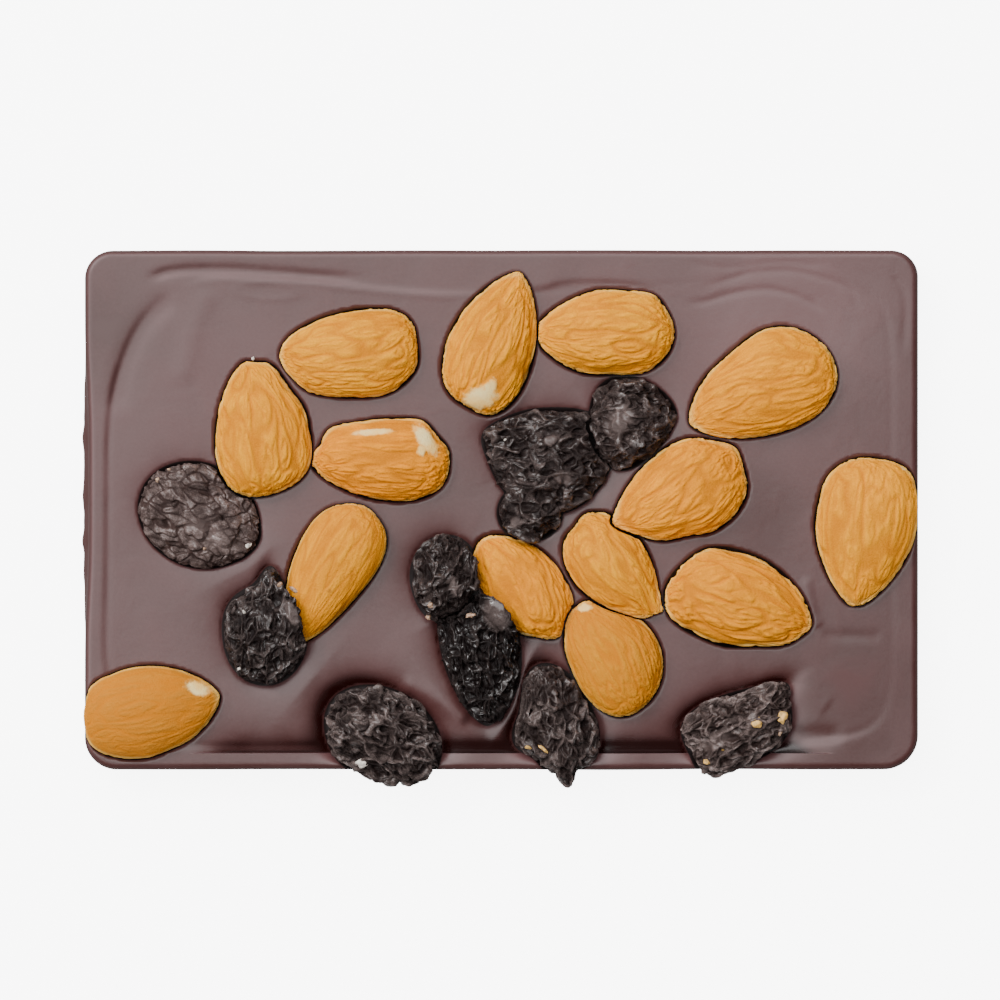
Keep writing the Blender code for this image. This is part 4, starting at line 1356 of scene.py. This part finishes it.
def poured_height(x, y, settings):
    """Height of the poured surface with its rim, ripples, groove and dips."""
    inset = edge_distance(x, y)
    well = smooth_curve(WELL, closed=True)
    from_well, along = distance_to_line(x, y, np.vstack((well, well[:1]))[:, :2])
    into_well = np.where(inside_line(x, y, well[:, :2]), from_well, -from_well)
    share = np.interp(along, np.linspace(0.0, 1.0, len(well), endpoint=False), well[:, 2], period=1.0)
    rim = smoothstep(RIM_SLOPE / 2.0, -RIM_SLOPE / 2.0, into_well)
    height = settings.surface_level / MM
    height = height + settings.rim_height / MM * share * rim
    height = height - WELL_FURROW * share * bell(into_well - RIM_SLOPE / 2.0, WELL_FURROW_WIDTH)
    height = height - front_groove(x, y, settings.groove_depth / MM)
    for swell_x, swell_y, reach, rise in SWELLS:
        height = height + rise * bell(np.hypot(x - swell_x, y - swell_y), reach)
    for line in POUR_LINES:
        distance, along = distance_to_line(x, y, smooth_curve(line.points))
        fade = smoothstep(0.0, LINE_FADE, along) * smoothstep(1.0, 1.0 - LINE_FADE, along)
        height = height + line.rise * fade * bell(distance, line.width)
    ring = patch_field(x, y, (RING,)) / RING.strength
    height = height + RING.strength * bell(ring, RING_WIDTH)
    gap, sinking = gap_to_toppings(x, y)
    height = height - sinking * smoothstep(EDGE_ROUNDING / 2.0, 3.0 * EDGE_ROUNDING, inset)
    height = height - CONTACT_DIP * smoothstep(*CONTACT_GAPS, gap)
    short_of_top = np.maximum(EDGE_ROUNDING - np.maximum(inset, 0.0), 0.0)
    height = height - EDGE_ROUNDING + np.sqrt(EDGE_ROUNDING ** 2 - short_of_top ** 2)
    return height, gap


def left_bulge(x, y, amount):
    """How far the left side stands out, in millimetres."""
    near_left = smoothstep(-SLAB_LENGTH / 2.0 + LEFT_BULGE_DEPTH, -SLAB_LENGTH / 2.0, x)
    return amount * np.exp(-((y - LEFT_BULGE_Y) / LEFT_BULGE_REACH) ** 4) * near_left


def grid_lines(half_size, cell):
    """Grid lines across the slab: close together at both edges, even between them."""
    even = half_size - EDGE_STEPS[-1]
    count = math.ceil(2.0 * even / cell)
    low_rim = -half_size + np.array(EDGE_STEPS[:-1])
    return np.concatenate((low_rim, np.linspace(-even, even, count + 1), -low_rim[::-1]))


def slab_grid(settings):
    """Grid lines of the slab's top, and which of its rows lie at the groove's steep side."""
    cell = settings.cell / MM * 1.0
    columns = grid_lines(SLAB_LENGTH / 2.0, cell)
    rows = grid_lines(SLAB_WIDTH / 2.0, cell)
    step = GROOVE_INSET - SLAB_WIDTH / 2.0
    step_lines = [step + offset for offset in GROOVE_STEP]
    rows = np.sort(np.append(rows[np.abs(rows - step) > GROOVE_STEP_CLEARANCE], step_lines))
    return columns, rows, np.flatnonzero(np.isin(rows, step_lines))


def surface_looks(x, y, gap, slope):
    """What the chocolate's material reads, with painted shade and painted light set by slope; slope is
    how steeply the surface rises to the light.
    """
    inset = edge_distance(x, y)
    # Painted shade in the front groove and on slopes turned from the light
    groove = smoothstep(*PAINTED_SHADE_GROOVE_DEPTHS, front_groove(x, y, 1.0))
    groove = groove * np.interp(x, PAINTED_SHADE_GROOVE_X, PAINTED_SHADE_GROOVE_SHARES)
    painted_shade = np.maximum(smoothstep(*SHADED_SLOPES, slope), groove)
    # Painted light: more haze on slopes turned to the light
    haze_and_painted_light = PLAIN_HAZE + PAINTED_LIGHT_HAZE * smoothstep(*LIT_SLOPES, -slope)
    for haze_x, haze_y, reach, amount in HAZE:
        haze_and_painted_light = haze_and_painted_light + amount * bell(np.hypot(x - haze_x, y - haze_y), reach)
    from_scuff = np.hypot((x - SCUFF.x) / SCUFF.half_length, (y - SCUFF.y) / SCUFF.half_width)
    return {
        "gap": gap,
        "painted_shade": painted_shade * smoothstep(*PAINTED_SHADE_GAPS, gap) * smoothstep(*PAINTED_SHADE_INSETS, inset),
        "wall": smoothstep(WALL_FADE, 0.0, inset),
        "scuff": bell(from_scuff, 1.0),
        "haze_and_painted_light": haze_and_painted_light,
    }


def wall_rings(x, y, top):
    """Rings of places down the slab's sides, below the top's rim at x and y."""
    out_x, out_y = outward(x, y)
    flat_places = np.column_stack((x, y, np.zeros(len(x))))
    ragged = LEDGE_RAGGEDNESS * noise_at(flat_places, LEDGE_RAG_LENGTH, 2.0)
    rings = []
    for level, inset in WALL_LEVELS:
        ledge = LEFT_LEDGE * math.exp(-((level - LEDGE_LEVEL) / LEDGE_REACH) ** 4)
        side_x = top[:, 0] - left_bulge(x, y, ledge) * (1.0 + ragged) - out_x * inset
        side_z = np.minimum(level, top[:, 2] * level / WALL_TOP_LEVEL)
        rings.append(np.column_stack((side_x, top[:, 1] - out_y * inset, side_z)))
    return rings


def mark_sharp_rows(data, step_rows, width, depth):
    """Keeps the grid's edges along the given rows crisp."""
    ends = np.empty(2 * len(data.edges), dtype=int)
    data.edges.foreach_get("vertices", ends)
    end_rows = np.where(ends < width * depth, ends // width, -1).reshape(-1, 2)
    sharp = (end_rows[:, 0] == end_rows[:, 1]) & np.isin(end_rows[:, 0], step_rows)
    data.attributes.new("sharp_edge", "BOOLEAN", "EDGE").data.foreach_set("value", sharp)


def slab_mesh(settings):
    columns, rows, step_rows = slab_grid(settings)
    grid_x, grid_y = np.meshgrid(columns, rows)
    x, y = round_corner(grid_x.ravel(), grid_y.ravel())
    height, gap = poured_height(x, y, settings)
    slope_y, slope_x = np.gradient(height.reshape(grid_x.shape), rows, columns)
    slope = (slope_x * TOWARDS_LIGHT[0] + slope_y * TOWARDS_LIGHT[1]).ravel()
    flat_places = np.column_stack((x, y, np.zeros_like(x)))
    unevenness = SURFACE_UNEVENNESS * noise_at(flat_places, SURFACE_UNEVENNESS_LENGTH, 5.0)
    z = np.minimum(height, bed_level(x, y)) + unevenness
    waver_places = np.column_stack((x, y, np.full_like(x, 3.0 * EDGE_WAVER_LENGTH)))
    waver = EDGE_WAVER * noise_at(waver_places, EDGE_WAVER_LENGTH)
    shift_y = waver * smoothstep(EDGE_WAVER_REACH, 0.0, edge_distance(x, y))
    top = np.column_stack((x - left_bulge(x, y, LEFT_RIM_RETREAT), y + shift_y, z))

    width, depth = len(columns), len(rows)
    index = np.arange(width * depth).reshape(depth, width)
    quads = np.stack((index[:-1, :-1], index[:-1, 1:], index[1:, 1:], index[1:, :-1]), axis=-1)
    faces = quads.reshape(-1, 4).tolist()
    above = np.concatenate((index[0, :-1], index[:-1, -1], index[-1, :0:-1], index[:0:-1, 0]))
    rings = wall_rings(x[above], y[above], top[above])
    for number, ring_places in enumerate(rings):
        ring = len(top) + number * len(ring_places) + np.arange(len(ring_places))
        faces += np.stack((above, ring, np.roll(ring, -1), np.roll(above, -1)), axis=-1).tolist()
        above = ring
    faces.append(above[::-1].tolist())

    outer = sum(map(len, rings))
    on_walls = {"gap": FAR_FROM_TOPPINGS, "wall": 1.0}
    fields = {name: np.concatenate((values, np.full(outer, on_walls.get(name, 0.0))))
              for name, values in surface_looks(x, y, gap, slope).items()}
    data = mesh_from("slab", np.vstack((top, *rings)), faces, fields)
    mark_sharp_rows(data, step_rows, width, depth)
    return data


# Operators


def add_light(name, size, strength, place):
    """A square light turned to the middle of the bark; strength is how bright its surface is."""
    light = bpy.data.lights.new(name, "AREA")
    light.size = size
    light.energy = strength * math.pi * size ** 2
    lamp = new_object(name, light)
    lamp.location = place
    lamp.rotation_euler = (-Vector(place)).to_track_quat("-Z", "Y").to_euler()


class BARK_OT_stage(bpy.types.Operator):
    """Sets up the floor, the soft lights and the camera straight above."""

    bl_idname = "bark.stage"
    bl_label = "Stage"

    def execute(self, context):
        settings = context.scene.bark_stage
        mesh = bmesh.new()
        bmesh.ops.create_grid(mesh, x_segments=8, y_segments=8, size=FLOOR_SIZE)
        data = bpy.data.meshes.new("floor")
        mesh.to_mesh(data)
        mesh.free()
        data.materials.append(floor_material(settings))
        new_object("floor", data)

        world = bpy.data.worlds.new("studio")
        world.use_nodes = True
        background = world.node_tree.nodes["Background"].inputs
        background["Strength"].default_value = settings.fill_strength
        background["Color"].default_value = WHITE
        context.scene.world = world
        add_light("overhead_light", LIGHT_SIZE, settings.key_strength, LIGHT_PLACE)
        add_light("glint_light", GLINT_SIZE, settings.glint_strength, GLINT_PLACE)

        lens = bpy.data.cameras.new("camera")
        distance = settings.camera_height - context.scene.bark_slab.surface_level
        lens.sensor_width = SENSOR_WIDTH
        lens.lens = SENSOR_WIDTH * distance / settings.view_width
        lens.clip_end = 10.0
        camera = new_object("camera", lens)
        camera.location = (*CAMERA_PLACE, settings.camera_height)
        context.scene.camera = camera
        return {"FINISHED"}


class BARK_OT_slab(bpy.types.Operator):
    """Pours the slab of dark chocolate with its rim, ripples and a bed under each topping."""

    bl_idname = "bark.slab"
    bl_label = "Chocolate slab"

    def execute(self, context):
        settings = context.scene.bark_slab
        data = slab_mesh(settings)
        data.materials.append(chocolate_material(settings))
        piece = new_object("poured_slab", data)
        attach(piece, BODY)
        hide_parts("slab")
        return {"FINISHED"}


class BARK_OT_almonds(bpy.types.Operator):
    """Makes the whole almonds with ridged skins and chipped places."""

    bl_idname = "bark.almonds"
    bl_label = "Almonds"

    def execute(self, context):
        settings = context.scene.bark_almonds
        material = almond_material(settings)
        tree = ridge_tree()
        for number, topping in enumerate(ALMONDS):
            strength, ridges, slant, _, _ = ALMOND_LOOKS[topping.name]
            piece = new_object(f"whole_{topping.name}", almond_base(topping, ALMONDS[:number]))
            piece = run_tree(piece, tree, {
                "Depth": strength * settings.ridge_depth / MM,
                "Ridges": float(ridges),
                "Slant": slant,
                "Chip Depth": settings.chip_depth / MM,
                "Seed": 7.3 * number,
                "Material": material,
            })
            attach(piece, BODY)
            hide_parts(topping.name)
        return {"FINISHED"}


class BARK_OT_raisins(bpy.types.Operator):
    """Makes the wrinkled raisins, draped over what they rest on."""

    bl_idname = "bark.raisins"
    bl_label = "Raisins"

    def execute(self, context):
        settings = context.scene.bark_raisins
        material = raisin_material(settings)
        tree = wrinkle_tree()
        coarse = 0
        directions, faces = ball_of_triangles(RAISIN_SUBDIVISIONS - coarse)
        for number, topping in enumerate(RAISINS):
            earlier = ALMONDS + RAISINS[:number]
            name = f"dried_{topping.name}"
            piece = new_object(name, raisin_base(topping, earlier, directions, faces))
            if topping.name == LOWER_LOBE.name:
                lobe = new_object("lobe", raisin_base(LOWER_LOBE, earlier, directions, faces))
                piece = join_lobe(piece, lobe, LOBE_VOXEL * (1 + coarse) * MM)
            raisin_fields(topping, piece.data)
            depth, size, _, _, plates = RAISIN_LOOKS[topping.name]
            piece = run_tree(piece, tree, {
                "Depth": depth * settings.wrinkle_depth / MM,
                "Wrinkle Size": size,
                "Plates": plates,
                "Seed": (11.0 * number, 5.0 * number, 3.0 * number),
                "Material": material,
            })
            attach(piece, BODY)
            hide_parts(topping.name)
        return {"FINISHED"}


class BARK_OT_crumbs(bpy.types.Operator):
    """Lays seeds and crumbs on the bark, most of them on the raisins."""

    bl_idname = "bark.crumbs"
    bl_label = "Crumbs"

    def execute(self, context):
        settings = context.scene.bark_crumbs
        below = [bpy.data.objects["poured_slab"]]
        below += [bpy.data.objects[f"whole_{topping.name}"] for topping in ALMONDS]
        below += [bpy.data.objects[f"dried_{topping.name}"] for topping in RAISINS]
        colours = {
            "white": settings.white_colour,
            "golden": settings.golden_colour,
            "tan": settings.tan_colour,
        }
        for kind, crumbs in CRUMBS.items():
            name = f"{kind}_crumbs"
            data = crumb_pile(name, crumbs, settings.crumb_thickness / MM, below)
            data.materials.append(crumb_material(name, colours[kind]))
            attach(new_object(name, data), BODY)
        return {"FINISHED"}


class BARK_PT_sidebar(bpy.types.Panel):
    """Lists the steps that build the bark and the values that they use."""

    bl_label = "Chocolate bark"
    bl_idname = "BARK_PT_sidebar"
    bl_space_type = "VIEW_3D"
    bl_region_type = "UI"
    bl_category = "Bark"

    def draw(self, context):
        for operator, settings in STEPS:
            box = self.layout.box()
            box.operator(operator.bl_idname)
            values = getattr(context.scene, settings)
            for name in values.__annotations__:
                box.prop(values, name)


STEPS = (
    (BARK_OT_slab, "bark_slab"),
    (BARK_OT_almonds, "bark_almonds"),
    (BARK_OT_raisins, "bark_raisins"),
    (BARK_OT_crumbs, "bark_crumbs"),
    (BARK_OT_stage, "bark_stage"),
)
SETTINGS = {
    "bark_slab": BARK_PG_slab,
    "bark_almonds": BARK_PG_almonds,
    "bark_raisins": BARK_PG_raisins,
    "bark_crumbs": BARK_PG_crumbs,
    "bark_stage": BARK_PG_stage,
}
CLASSES = (*SETTINGS.values(), *(operator for operator, _ in STEPS), BARK_PT_sidebar)


def register():
    for made in CLASSES:
        bpy.utils.register_class(made)
    for name, group in SETTINGS.items():
        setattr(bpy.types.Scene, name, bpy.props.PointerProperty(type=group))


def unregister():
    for name in SETTINGS:
        delattr(bpy.types.Scene, name)
    for made in reversed(CLASSES):
        bpy.utils.unregister_class(made)


def main():
    register()
    bpy.ops.bark.slab()
    bpy.ops.bark.almonds()
    bpy.ops.bark.raisins()
    bpy.ops.bark.crumbs()
    bpy.ops.bark.stage()
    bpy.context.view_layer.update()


if __name__ == "__main__":
    main()
